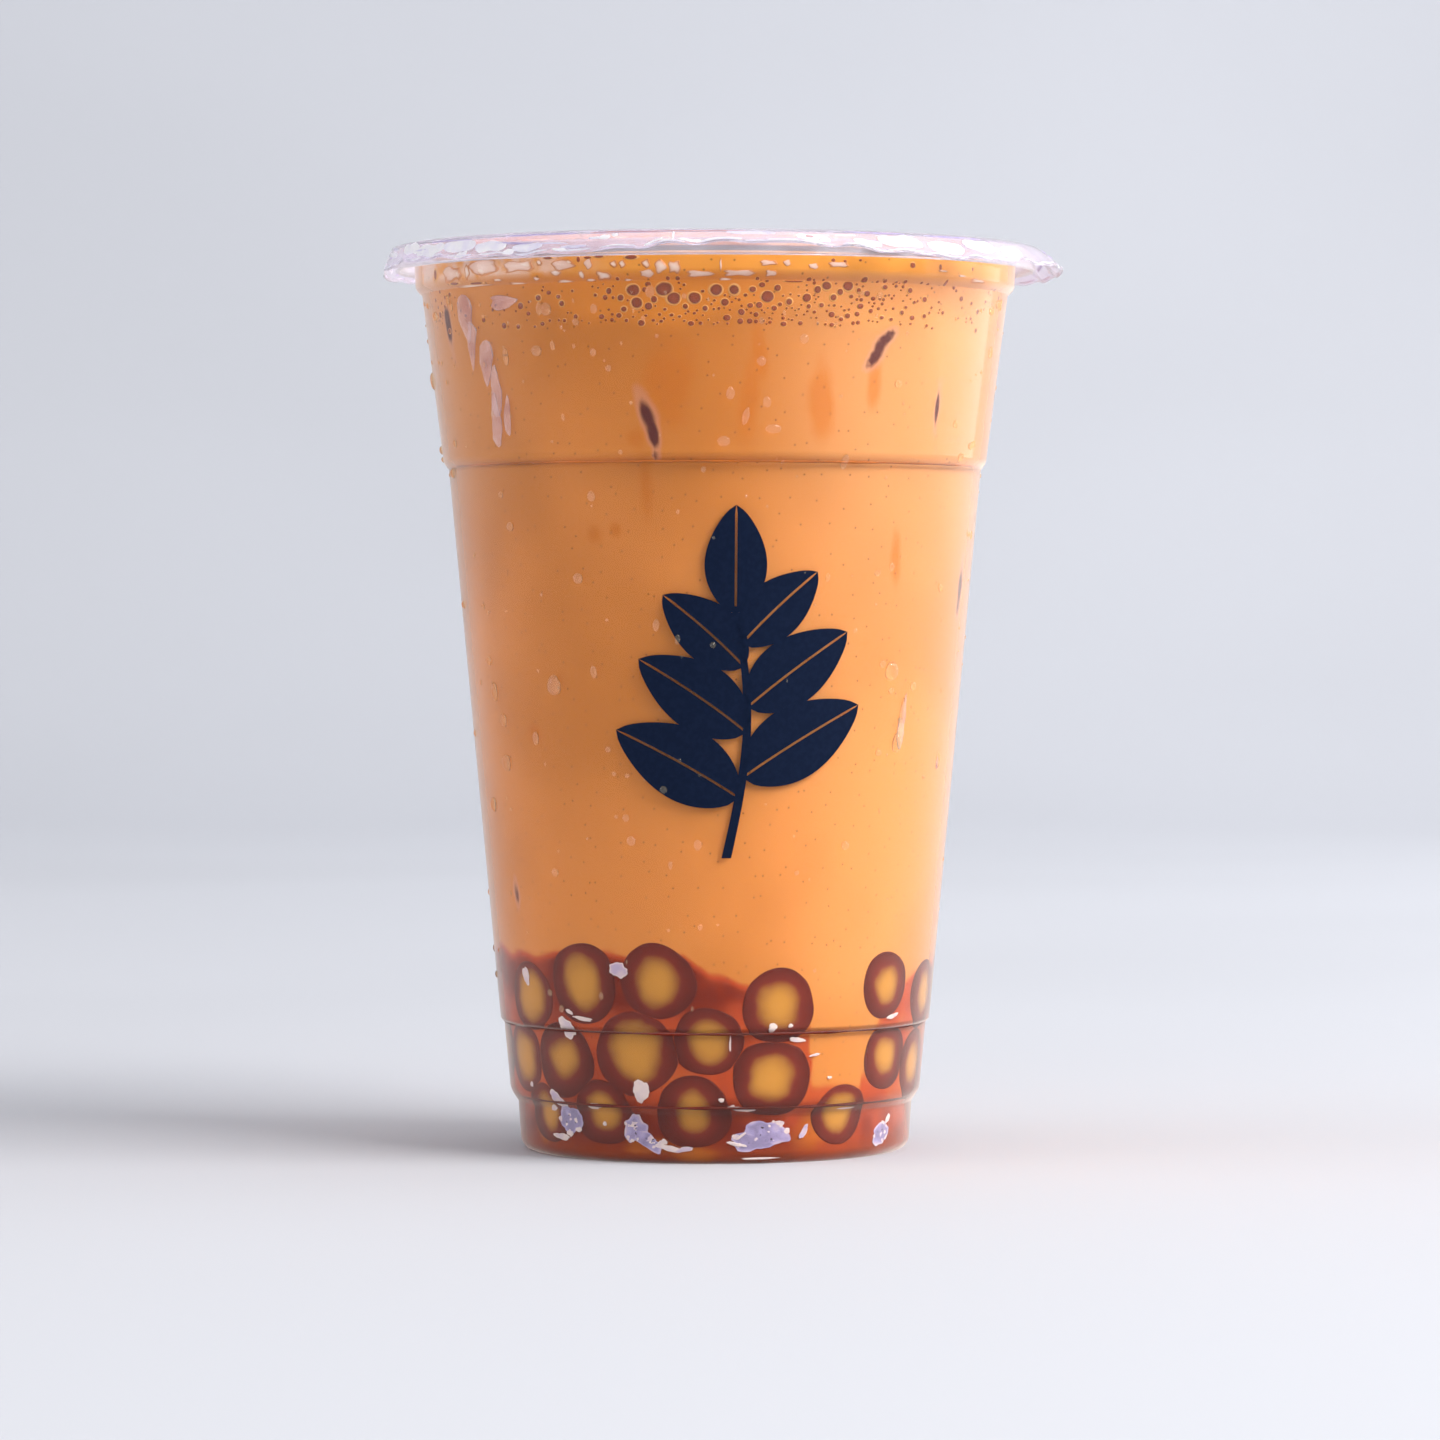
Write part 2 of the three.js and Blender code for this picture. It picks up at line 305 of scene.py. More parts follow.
def template_of(piece):
    """The vertices and faces of a small shape that was modelled once. The shape goes."""
    mesh = piece.data
    points = np.array([vertex.co[:] for vertex in mesh.vertices])
    faces = np.array([tuple(polygon.vertices) for polygon in mesh.polygons], dtype=object)
    bpy.data.objects.remove(piece)
    return points, faces


def joined_copies(name, template, copies):
    """One piece from many copies of a template, given as (points in mm, tone) for each copy.
    Its UV map holds the template's own face, and its tone attribute the copy's tone."""
    shape, faces = template
    count = len(shape)
    points = np.vstack([copy[0] for copy in copies]) * MM
    all_faces = [[v + k * count for v in face] for k in range(len(copies)) for face in faces]
    mesh = bpy.data.meshes.new(name)
    mesh.from_pydata(points.tolist(), [], all_faces)
    piece = bpy.data.objects.new(name, mesh)
    bpy.context.scene.collection.objects.link(piece)
    layer = mesh.uv_layers.new(name="face")
    corners = np.array([v % count for face in all_faces for v in face])
    layer.data.foreach_set("uv", (0.5 + 0.5 * shape[corners, :2]).ravel())
    set_attribute(piece, "tone", np.repeat([copy[1] for copy in copies], count))
    return piece


def lens_template(name, sides, rings):
    """A low round lens of radius 1: x and y across it, z out of it from 0 to 1."""
    deselect()
    bpy.ops.mesh.primitive_cylinder_add(vertices=sides, radius=1, depth=0.5, location=(0, 0, -0.25))
    piece = edit(name)
    bpy.ops.mesh.select_all(action="DESELECT")
    bpy.ops.object.mode_set(mode="OBJECT")
    for polygon in piece.data.polygons:
        polygon.select = polygon.normal.z > 0.9
    bpy.ops.object.mode_set(mode="EDIT")
    bpy.context.tool_settings.mesh_select_mode = (False, False, True)
    turns = [(ring + 1) / (rings + 1) * math.pi / 2 for ring in range(rings)]
    reach = 1.0
    rise = 0.0
    for turn in turns:
        inwards = reach - math.cos(turn)
        upwards = math.sin(turn) - rise
        bpy.ops.mesh.inset(thickness=inwards * math.cos(math.pi / sides), depth=upwards)
        reach = math.cos(turn)
        rise = math.sin(turn)
    bpy.ops.mesh.poke(offset=1 - rise)
    finish_edit(piece)
    return template_of(piece)


def bent_copy(shape, place, size, turn=0.0, base=inner_radius, lift=0.0, depth=1.0, taper=0.0):
    """A template laid on the wall: x runs round the cup, y up it and z out of it.
    place is (angle, height), size the half width and half height, turn in degrees."""
    tilt = math.radians(turn)
    across = shape[:, 0] * size[0] * (1 - taper * shape[:, 1])
    along = shape[:, 1] * size[1]
    right = across * math.cos(tilt) - along * math.sin(tilt)
    up = across * math.sin(tilt) + along * math.cos(tilt)
    height = place[1] + up
    angle = math.radians(place[0]) + right / base(place[1])
    return from_round(base(height) + lift + shape[:, 2] * depth, angle, height)


def new_material(name):
    """An empty node material."""
    material = bpy.data.materials.new(name)
    material.use_nodes = True
    material.node_tree.nodes.clear()
    return material


def node(material, kind, inputs=None, **settings):
    """Adds a node. inputs maps a socket's name or number to a value or to another socket."""
    tree = material.node_tree
    new = tree.nodes.new(kind)
    for key, value in settings.items():
        setattr(new, key, value)
    for key, value in (inputs or {}).items():
        if isinstance(value, bpy.types.NodeSocket):
            tree.links.new(value, new.inputs[key])
        else:
            new.inputs[key].default_value = value
    return new


def ramp(material, factor, stops):
    """A colour ramp with (place, colour) stops."""
    new = node(material, "ShaderNodeValToRGB", {"Fac": factor})
    elements = new.color_ramp.elements
    while len(elements) < len(stops):
        elements.new(0.5)
    for element, (place, colour) in zip(elements, stops):
        element.position = place
        element.color = solid(colour)
    return new.outputs["Color"]


def mix(material, factor, first, second):
    """Mixes two colours."""
    new = node(material, "ShaderNodeMix", data_type="RGBA")
    tree = material.node_tree
    for key, value in ((0, factor), (6, first), (7, second)):
        if isinstance(value, bpy.types.NodeSocket):
            tree.links.new(value, new.inputs[key])
        else:
            new.inputs[key].default_value = solid(value) if key else value
    return new.outputs[2]


def maths(material, operation, *values):
    """A maths node."""
    return node(material, "ShaderNodeMath", dict(enumerate(values)), operation=operation).outputs[0]


def between(material, value, low, high, start=0.0, end=1.0, kind="SMOOTHSTEP"):
    """Turns the range from low to high into the one from start to end, held at both ends."""
    inputs = {"Value": value, "From Min": low, "From Max": high, "To Min": start, "To Max": end}
    return node(material, "ShaderNodeMapRange", inputs, interpolation_type=kind).outputs["Result"]


def noise(material, vector, scale, detail):
    """Noise from 0 to 1."""
    inputs = {"Vector": vector, "Scale": scale, "Detail": detail}
    return node(material, "ShaderNodeTexNoise", inputs).outputs["Fac"]


def object_place(material):
    """Object coordinates."""
    return node(material, "ShaderNodeTexCoord").outputs["Object"]


def attribute(material, name):
    """One of the numbers that a mesh holds for each vertex."""
    return node(material, "ShaderNodeAttribute", attribute_name=name).outputs["Fac"]


def face_reach(material):
    """How far a point of a copied shape is from its middle, from 0 to 1 at its edge."""
    face = node(material, "ShaderNodeUVMap", uv_map="face").outputs["UV"]
    middle = (0.5, 0.5, 0)
    centred = node(material, "ShaderNodeVectorMath", {0: face, 1: middle}, operation="SUBTRACT")
    length = node(material, "ShaderNodeVectorMath", {0: centred.outputs[0]}, operation="LENGTH")
    return maths(material, "MULTIPLY", length.outputs["Value"], 2.0)


def clear_shader(material, principled):
    """A clear surface that lets nearly all of the lamps' light through to what is behind it."""
    rays = node(material, "ShaderNodeLightPath")
    open_air = node(material, "ShaderNodeBsdfTransparent", {"Color": (0.97, 0.97, 0.97, 1)})
    inputs = {0: rays.outputs["Is Shadow Ray"], 1: principled, 2: open_air.outputs[0]}
    return node(material, "ShaderNodeMixShader", inputs).outputs[0]


def surface(material, inputs, clear=False):
    """Ends a material in its surface, a clear one where lamps are to shine through it."""
    shader = node(material, "ShaderNodeBsdfPrincipled", inputs).outputs[0]
    if clear:
        shader = clear_shader(material, shader)
    node(material, "ShaderNodeOutputMaterial", {"Surface": shader})
    return material


def bump(material, height, strength, distance):
    """A bump from a height, its distance in millimetres."""
    inputs = {"Height": height, "Strength": strength, "Distance": distance * MM}
    return node(material, "ShaderNodeBump", inputs).outputs["Normal"]


class CupSettings(bpy.types.PropertyGroup):
    """The clear cup."""
    steps: bpy.props.IntProperty(
        name="Steps", description="Faces round the cup", default=160, min=24, max=360)
    plastic_colour: bpy.props.FloatVectorProperty(
        name="Plastic", description="Tint of the clear plastic", subtype="COLOR",
        default=(0.985, 0.985, 0.99), min=0, max=1)
    rim_colour: bpy.props.FloatVectorProperty(
        name="Rim", description="Milky tint of the curled rim", subtype="COLOR",
        default=linear(250, 248, 255), min=0, max=1)
    haze: bpy.props.FloatProperty(
        name="Haze", description="Milkiness of the wet plastic at a flat angle", subtype="FACTOR",
        default=0.85, min=0, max=1)
    waviness: bpy.props.FloatProperty(
        name="Waviness", description="Depth of the uneven gloss that drawn plastic has",
        unit="LENGTH", default=0.00004, min=0, max=0.001)


class TeaSettings(bpy.types.PropertyGroup):
    """The milk tea."""
    tea_colour: bpy.props.FloatVectorProperty(
        name="Milk tea", description="Colour of the mixed tea", subtype="COLOR",
        default=linear(228, 146, 70), min=0, max=1)
    top_colour: bpy.props.FloatVectorProperty(
        name="Upper tea", description="Colour of the tea near the top", subtype="COLOR",
        default=linear(208, 129, 53), min=0, max=1)
    neck_colour: bpy.props.FloatVectorProperty(
        name="Neck", description="Thin froth behind the neck", subtype="COLOR",
        default=linear(238, 160, 66), min=0, max=1)
    froth_colour: bpy.props.FloatVectorProperty(
        name="Froth", description="The tea between the bubbles", subtype="COLOR",
        default=linear(234, 146, 54), min=0, max=1)
    salmon_colour: bpy.props.FloatVectorProperty(
        name="Thin syrup", description="Where little syrup has run into the tea", subtype="COLOR",
        default=linear(196, 78, 36), min=0, max=1)
    amber_colour: bpy.props.FloatVectorProperty(
        name="Amber", description="Runs of unmixed tea", subtype="COLOR",
        default=linear(206, 116, 30), min=0, max=1)
    syrup_colour: bpy.props.FloatVectorProperty(
        name="Syrup", description="Where the pearls' syrup is thickest", subtype="COLOR",
        default=linear(124, 36, 17), min=0, max=1)
    ice_colour: bpy.props.FloatVectorProperty(
        name="Ice edge", description="Dark edges of ice that touch the wall", subtype="COLOR",
        default=linear(84, 34, 38), min=0, max=1)


class PearlSettings(bpy.types.PropertyGroup):
    """The tapioca pearls."""
    press: bpy.props.FloatProperty(
        name="Press", description="How far a pearl's middle stays inside the wall",
        unit="LENGTH", default=0.0011, min=0.001, max=0.006)
    core_colour: bpy.props.FloatVectorProperty(
        name="Core", description="The pale starchy middle of a pearl", subtype="COLOR",
        default=linear(214, 150, 62), min=0, max=1)
    skin_colour: bpy.props.FloatVectorProperty(
        name="Skin", description="The dark outside of a pearl", subtype="COLOR",
        default=linear(110, 38, 27), min=0, max=1)
    seed: bpy.props.IntProperty(
        name="Seed", description="Draw of the pearls that the front does not show", default=20251)


class FrothSettings(bpy.types.PropertyGroup):
    """The froth under the film."""
    hole_colour: bpy.props.FloatVectorProperty(
        name="Bubble", description="Dark inside of a bubble", subtype="COLOR",
        default=linear(146, 66, 30), min=0, max=1)
    edge_colour: bpy.props.FloatVectorProperty(
        name="Edge", description="Light ring round a bubble", subtype="COLOR",
        default=linear(250, 184, 102), min=0, max=1)
    small_count: bpy.props.IntProperty(
        name="Small bubbles", description="How many small bubbles are drawn", default=1500, min=0)
    seed: bpy.props.IntProperty(name="Seed", description="Draw of the bubbles", default=7)


class PocketSettings(bpy.types.PropertyGroup):
    """Air pockets and specks of milk between the pearls, and painted glints on the pearls."""
    lavender_colour: bpy.props.FloatVectorProperty(
        name="Air", description="Daylight in a pocket of air", subtype="COLOR",
        default=linear(176, 162, 204), min=0, max=1)
    # The white is milk, and also painted glints on the pearls.
    milk_and_glint_colour: bpy.props.FloatVectorProperty(
        name="Milk", description="Specks of milk fat on the wall", subtype="COLOR",
        default=linear(240, 222, 216), min=0, max=1)
    seed: bpy.props.IntProperty(name="Seed", description="Draw of the outlines", default=11)


class DropSettings(bpy.types.PropertyGroup):
    """Water condensed on the outside of the cup."""
    small_count: bpy.props.IntProperty(
        name="Small drops", description="How many small drops are drawn", default=400, min=0)
    seed: bpy.props.IntProperty(name="Seed", description="Draw of the drops", default=5)


class PrintSettings(bpy.types.PropertyGroup):
    """The print on the front, a plain leafy sprig."""
    ink_colour: bpy.props.FloatVectorProperty(
        name="Ink", description="Colour of the print", subtype="COLOR",
        default=linear(16, 28, 52), min=0, max=1)
    thickness: bpy.props.FloatProperty(
        name="Thickness", description="How far the ink stands on the wall", unit="LENGTH",
        default=0.00006, min=0.00001, max=0.0005)
    angle: bpy.props.FloatProperty(
        name="Angle", description="Where its middle is, round the cup", subtype="ANGLE",
        default=math.radians(4.6))


class FilmSettings(bpy.types.PropertyGroup):
    """The heat-sealed film."""
    tint: bpy.props.FloatVectorProperty(
        name="Tint", description="Tint of the film", subtype="COLOR",
        default=linear(248, 242, 255), min=0, max=1)
    taut_tint: bpy.props.FloatVectorProperty(
        name="Taut film", description="Tint of the clear film over the tea", subtype="COLOR",
        default=linear(253, 252, 250), min=0, max=1)
    steps: bpy.props.IntProperty(
        name="Steps", description="Faces round the film", default=288, min=36, max=720)
    wrinkle: bpy.props.FloatProperty(
        name="Wrinkle", description="Depth of the small wrinkles", unit="LENGTH",
        default=0.00016, min=0, max=0.001)
    seed: bpy.props.IntProperty(name="Seed", description="Draw of the blisters", default=3)


class StageSettings(bpy.types.PropertyGroup):
    """Floor, light and camera."""
    floor_colour: bpy.props.FloatVectorProperty(
        name="Floor", description="Colour of the floor and backdrop", subtype="COLOR",
        default=linear(210, 212, 219), min=0, max=1)
    key_power: bpy.props.FloatProperty(
        name="Key light", description="Power of the large window-like lamp", unit="POWER",
        default=23.5, min=0)
    edge_power: bpy.props.FloatProperty(
        name="Edge light", description="Power of the lamp behind on the right", unit="POWER",
        default=5.5, min=0)
    fill_power: bpy.props.FloatProperty(
        name="Fill light", description="Power of the weak lamp on the left", unit="POWER",
        default=5.2, min=0)
    glint_power: bpy.props.FloatProperty(
        name="Glint light", description="Power of the small lamp that only makes wet spots shine",
        unit="POWER", default=3.0, min=0)
    backdrop_power: bpy.props.FloatProperty(
        name="Backdrop light", description="Power of the lamp over the backdrop", unit="POWER",
        default=3.0, min=0)
    sky_strength: bpy.props.FloatProperty(
        name="Sky", description="Strength of the even light from all sides", default=0.59, min=0)
    front_share: bpy.props.FloatProperty(
        name="Front sky", description="How bright the sky is behind the camera, as a share",
        subtype="FACTOR", default=0.8, min=0, max=1)
    camera_distance: bpy.props.FloatProperty(
        name="Camera distance", description="From the cup's axis to the camera", unit="LENGTH",
        default=0.855, min=0.1)
    camera_height: bpy.props.FloatProperty(
        name="Camera height", description="Over the floor", unit="LENGTH", default=0.0814)
    lens: bpy.props.FloatProperty(
        name="Lens", description="Focal length", subtype="DISTANCE_CAMERA", default=143.65, min=10)


HAZE_TINT = linear(255, 242, 230)


def clear_plastic(name, colour, rough, waviness, transmission=1.0, haze=0.0, ior=1.3):
    """Clear glossy plastic with the long uneven waves of a drawn sheet. Haze is the milkiness
    that shows where the sheet is seen at a flat angle."""
    material = new_material(name)
    place = object_place(material)
    uneven = noise(material, place, 90, 0)
    inputs = {
        "Base Color": solid(colour),
        "Roughness": rough,
        "IOR": ior,
        "Transmission Weight": transmission,
        "Sheen Weight": haze,
        "Sheen Roughness": 0.4,
        "Sheen Tint": solid(HAZE_TINT),
        "Normal": bump(material, uneven, 0.6, waviness / MM),
    }
    return surface(material, inputs, clear=True)


class TEACUP_OT_cup_shell(bpy.types.Operator):
    """Spins the clear stepped cup with its foot ring, ledges and curled rim"""
    bl_idname = "teacup.cup_shell"
    bl_label = "Cup"

    def execute(self, context):
        settings = context.scene.teacup_cup
        shell = spun("cup_shell", cup_outline(), settings.steps)
        smooth(shell, 40)
        wall = clear_plastic("clear cup plastic", settings.plastic_colour, 0.1, settings.waviness,
                             haze=settings.haze)
        rim = clear_plastic("milky rim plastic", settings.rim_colour, 0.1, settings.waviness, 0.8,
                            haze=0.3, ior=1.4)
        shell.data.materials.append(wall)
        shell.data.materials.append(rim)
        rim_radius = BANDS[-1][1][0]
        lip_bottom = CUP_HEIGHT - LIP_DROP
        for polygon in shell.data.polygons:
            middle = polygon.center / MM
            outside = math.hypot(middle.x, middle.y) > rim_radius
            polygon.material_index = int(outside and middle.z > lip_bottom - 0.1)
        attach(shell, "root")
        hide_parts("cup")
        return {"FINISHED"}


# The upper edge of the syrup round the cup, as (angle, height).
SYRUP_EDGE = (
    (-180, 29.5), (-110, 31), (-60, 31), (-30, 31.2), (-8, 31.3), (-1, 28.4), (7, 26.6), (19, 27.2),
    (25, 26), (28, 13), (44, 11.5), (49, 22), (60, 27.5), (90, 30), (140, 28.5), (180, 29.5),
)
# The syrup's edge blurs over this height, and has these waves.
SYRUP_BLUR = 2.2
SYRUP_WAVES = ((9, 0.35, 1), (23, 0.25, 0))
# How thick the syrup is, as (height, share) and as (angle, share).
SYRUP_BY_HEIGHT = ((3, 1.0), (6, 0.85), (12, 0.5), (20, 0.55), (24, 0.8), (32, 0.8))
SYRUP_BY_ANGLE = ((-180, 1), (-20, 1), (5, 0.92), (25, 0.7), (180, 0.8))
# The same for the froth on the wall.
FROTH_BLUR = 2.5
FROTH_WAVES = ((7, 1.2, 0), (19, 0.6, 1))
FROTH_BY_ANGLE = ((-40, 0.25), (-22, 1), (36, 1), (52, 0.3))
# Dark slits where ice touches the wall: angle, height, half width, half height, turn.
ICE_MARKS = (
    (-14.0, 108.2, 1.0, 2.4, 22), (-12.4, 104.9, 0.7, 2.4, 6), (-12.0, 101.9, 0.45, 1.2, 0),
    (35.6, 118.8, 0.8, 2.2, -48), (33.2, 116.2, 0.8, 2.2, -34), (51.9, 109.6, 0.45, 2.9, -4),
    (-65.6, 121.5, 0.9, 3.4, 6), (72.7, 82.9, 0.9, 3.6, 0), (-60.1, 38.4, 0.9, 1.9, 4),
)
# Runs of unmixed tea, given as the slits are.
AMBER_RUNS = (
    (-14.6, 97.6, 0.9, 4.4, 2), (6.8, 110.0, 1.1, 5.6, -5), (8.6, 116.5, 0.8, 3.4, 8),
    (22.0, 109.5, 1.4, 4.6, 4), (-9.0, 112.5, 2.6, 5.0, 0), (33.5, 112.0, 0.9, 3.0, 0),
    (43.6, 87.5, 0.8, 3.2, 4), (-16.5, 104.5, 1.0, 1.0, 0), (-27.0, 91.0, 1.1, 1.2, 0),
    (-21.8, 91.5, 0.8, 1.0, 0), (-47.5, 62.0, 1.0, 1.4, 0), (-20.6, 2.6, 3.8, 1.0, 0),
    (-5.0, 1.6, 3.4, 0.8, 0), (31.0, 5.0, 3.6, 2.2, 12), (-60.0, 3.6, 2.6, 1.4, 0),
)
# The tea's mesh is fine enough to hold these marks.
TEA_ROW = 0.8
TEA_STEPS = 320
TEA_FIRST_ROW = 0.5
TEA_SURFACE_RING = 3
# The pale colour of the painted sheen on the tea's sides.
SIDE_SHEEN_COLOUR = linear(246, 201, 152)
# The pale pink of the painted reflection in the neck.
NECK_HIGHLIGHT_COLOUR = linear(238, 204, 184)
FOOT_COLOUR = linear(164, 68, 24)
ICE_HALO_COLOUR = linear(214, 160, 150)


def tea_outline():
    """The tea's outline, from its middle underneath to the middle of its surface."""
    rows = np.arange(BANDS[0][0][1] + INNER_LIFT + TEA_FIRST_ROW, DRINK_LEVEL, TEA_ROW)
    ledges = [point[1] + INNER_LIFT for point in OUTER_WALL]
    heights = sorted(set(np.round(np.concatenate((rows, ledges)), 2)))
    between_ends = [float(h) for h in heights if rows[0] < h < DRINK_LEVEL]
    edge = float(inner_radius(DRINK_LEVEL)) + TEA_DEPTH
    return [
        *inner_floor(TEA_DEPTH),
        *[(float(inner_radius(h)) + TEA_DEPTH, h) for h in between_ends],
        (edge, DRINK_LEVEL),
        (edge - TEA_SURFACE_RING, DRINK_LEVEL),
        (0, DRINK_LEVEL),
    ]


def syrup_share(angle, height):
    """How much syrup is in the tea at the wall, from 0 to 1."""
    degrees = np.degrees(angle)
    top = looked_up(degrees, SYRUP_EDGE) + waves(angle, SYRUP_WAVES)
    share = np.clip((top - height) / SYRUP_BLUR, 0, 1)
    share = share * share * (3 - 2 * share)
    return share * looked_up(height, SYRUP_BY_HEIGHT) * looked_up(degrees, SYRUP_BY_ANGLE)


def froth_share(angle, height):
    """How much of the tea at the wall is froth, from 0 to 1."""
    low = FROTH_LOW + waves(angle, FROTH_WAVES)
    share = np.clip((height - low) / FROTH_BLUR, 0, 1)
    return share * looked_up(np.degrees(angle), FROTH_BY_ANGLE)


def marks_share(marks, angle, height):
    """How near places are to marks: 1 in a mark's middle, a half on its edge, 0 at twice its size."""
    share = np.zeros(len(angle))
    for mark_angle, mark_height, half_width, half_height, turn in marks:
        tilt = math.radians(turn)
        across = (angle - math.radians(mark_angle)) * MEAN_RADIUS
        up = height - mark_height
        side = (across * math.cos(tilt) + up * math.sin(tilt)) / half_width
        rise = (up * math.cos(tilt) - across * math.sin(tilt)) / half_height
        share = np.maximum(share, 1 - np.hypot(side, rise) / 2)
    return share


def tea_material(settings):
    """Milk tea: a cloudy colour that is darker higher up, with a painted sheen that makes it paler
    towards the right and at the upper left, a painted reflection in the neck on the left, froth,
    syrup, runs of unmixed tea, brown specks and the dark edges of ice."""
    material = new_material("milk tea")
    wrap = node(material, "ShaderNodeUVMap", uv_map="wrap").outputs["UV"]
    place = object_place(material)
    high = node(material, "ShaderNodeSeparateXYZ", {0: wrap}).outputs["Y"]
    swirl = noise(material, place, 30, 2)
    height = between(material, high, 0.45, 1.15, 0.15, 0.85, "LINEAR")
    uneven = maths(material, "ADD", height, between(material, swirl, 0.32, 0.68, -0.5, 0.5))
    colour = mix(material, uneven, settings.tea_colour, settings.top_colour)
    froth = attribute(material, "froth")
    frothy = maths(material, "MULTIPLY", froth, between(material, swirl, 0.3, 0.7, 0.5, 1.0))
    colour = mix(material, frothy, colour, settings.froth_colour)
    # Painted sheen: the tea gets paler towards the right, more so higher up, and a little at the upper
    # left edge, for light that the wet wall scatters there.
    side = node(material, "ShaderNodeSeparateXYZ", {0: place}).outputs["X"]
    milky = maths(material, "MULTIPLY", between(material, side, 0.0, 0.024, 0, 0.27),
                  between(material, high, 0.6, 1.1, 0.5, 1.0))
    milky = maths(material, "MULTIPLY", milky, between(material, high, 0.15, 0.32, 0.25, 1.0))
    left = maths(material, "MULTIPLY", between(material, side, -0.044, -0.02, 0.2, 0.0),
                 between(material, high, 0.8, 1.1))
    colour = mix(material, maths(material, "ADD", milky, left), colour, SIDE_SHEEN_COLOUR)
    neck = between(material, high, 1.272, 1.285)
    # Painted reflection: pale pinkish patches in the neck on the left, where the curved neck shines.
    wet = between(material, noise(material, place, 260, 2), 0.35, 0.6)
    wet = maths(material, "MULTIPLY", wet, between(material, side, -0.03, -0.012, 1.0, 0.0))
    colour = mix(material, neck, colour, mix(material, wet, settings.neck_colour, NECK_HIGHLIGHT_COLOUR))
    syrup = attribute(material, "syrup")
    cloud = between(material, noise(material, place, 200, 1), 0.3, 0.7, -0.12, 0.12)
    share = maths(material, "MULTIPLY_ADD", cloud, between(material, syrup, 0, 0.2), syrup)
    thin = mix(material, between(material, share, 0.0, 0.5), colour, settings.salmon_colour)
    colour = mix(material, between(material, share, 0.42, 0.95), thin, settings.syrup_colour)
    colour = mix(material, between(material, high, 0.01, 0.05, 0.6, 0.0), colour, FOOT_COLOUR)
    amber = attribute(material, "amber")
    amber = maths(material, "ADD", amber, cloud)
    amber = between(material, amber, 0.12, 0.75, 0, 0.62)
    colour = mix(material, amber, colour, settings.amber_colour)
    inputs = {"Vector": wrap, "Scale": 28.0}
    specks = node(material, "ShaderNodeTexVoronoi", inputs, voronoi_dimensions="2D")
    speck = between(material, specks.outputs["Distance"], 0.02, 0.06, 0.55, 0.0)
    colour = mix(material, speck, colour, settings.ice_colour)
    ice = attribute(material, "ice")
    ice = maths(material, "ADD", ice, maths(material, "MULTIPLY", cloud, 1.3))
    colour = mix(material, between(material, ice, 0.15, 0.45, 0.0, 0.3), colour, ICE_HALO_COLOUR)
    colour = mix(material, between(material, ice, 0.4, 0.72, 0.0, 0.95), colour, settings.ice_colour)
    inputs = {"Base Color": colour, "Roughness": 0.6, "Specular IOR Level": 0.05}
    return surface(material, inputs)


class TEACUP_OT_milk_tea(bpy.types.Operator):
    """Spins the tea up to its level, with the syrup's place round the wall"""
    bl_idname = "teacup.milk_tea"
    bl_label = "Milk tea"

    def execute(self, context):
        settings = context.scene.teacup_tea
        tea = spun("milk_tea", tea_outline(), TEA_STEPS)
        smooth(tea, 50)
        _, angle, height = round_places(points_of(tea))
        set_attribute(tea, "syrup", syrup_share(angle, height))
        set_attribute(tea, "froth", froth_share(angle, height))
        set_attribute(tea, "amber", marks_share(AMBER_RUNS, angle, height))
        set_attribute(tea, "ice", marks_share(ICE_MARKS, angle, height))
        wrap_uv(tea)
        tea.data.materials.append(tea_material(settings))
        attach(tea, "root")
        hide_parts("drink")
        return {"FINISHED"}


# The pearls that the front shows: angle round the cup, height of the middle, radius.
SHOWN_PEARLS = (
    (-36.7, 26.2, 5.9), (-14.9, 26.8, 5.7), (16.9, 23.2, 5.6), (-21.9, 16.3, 6.4), (-1.9, 18.2, 5.2),
    (-45.9, 14.8, 5.8), (15.4, 12.6, 5.9), (-6.1, 8.0, 5.6), (38.0, 7.2, 4.8), (51.3, 25.6, 5.0),
    (54.4, 15.0, 5.0), (73.0, 23.7, 5.2), (71.8, 13.4, 5.2), (-57.0, 23.8, 5.2), (-33.5, 7.6, 5.2),
    (-65.0, 14.6, 5.2), (-56.2, 6.8, 4.8),
)
HIDDEN_FROM = 84
HIDDEN_TO = 284
HIDDEN_ROWS = ((7.6, 8, 0.25), (16.2, 8, 0.75), (25.0, 8, 0.25))
ROW_UNEVENNESS = 0.2
PEARL_RADIUS = 5.4
PEARL_VARIATION = 0.4
PEARL_SHIFT = 1.2
# Half the gap between pressed pearls, their gap to the floor, and how much deeper some of them
# reach into the wall.
PEARL_GAP = 0.06
PEARL_FLOOR_GAP = 0.2
PEARL_DEPTH_SPREAD = 0.01
PEARL_SEGMENTS = 56
PEARL_RINGS = 30
# How deep a pearl's lumps and its blunt corners are, as shares of its radius.
LUMP_SHARE = 0.035
CORNER_SHARE = 0.03
# The inside of the heap is one plug: its inset from the wall, its top, its crown, its bottom's
# gap to the floor and how far the crown falls to its edge.
CORE_INSET = 5.0
CORE_TOP = 24.0
CORE_CROWN = 3.0
CORE_LIFT = 0.3
CORE_EDGE_DROP = 0.6
CORE_STEPS = 48


def even_draws(seed):
    """Numbers from 0 to 1, drawn as the model of the cup draws them."""
    word = 0xFFFFFFFF
    state = seed
    while True:
        state = (state + 0x6D2B79F5) & word
        mixed = ((state ^ (state >> 15)) * (1 | state)) & word
        mixed = ((mixed + (((mixed ^ (mixed >> 7)) * (61 | mixed)) & word)) & word) ^ mixed
        yield (mixed ^ (mixed >> 14)) / 4294967296


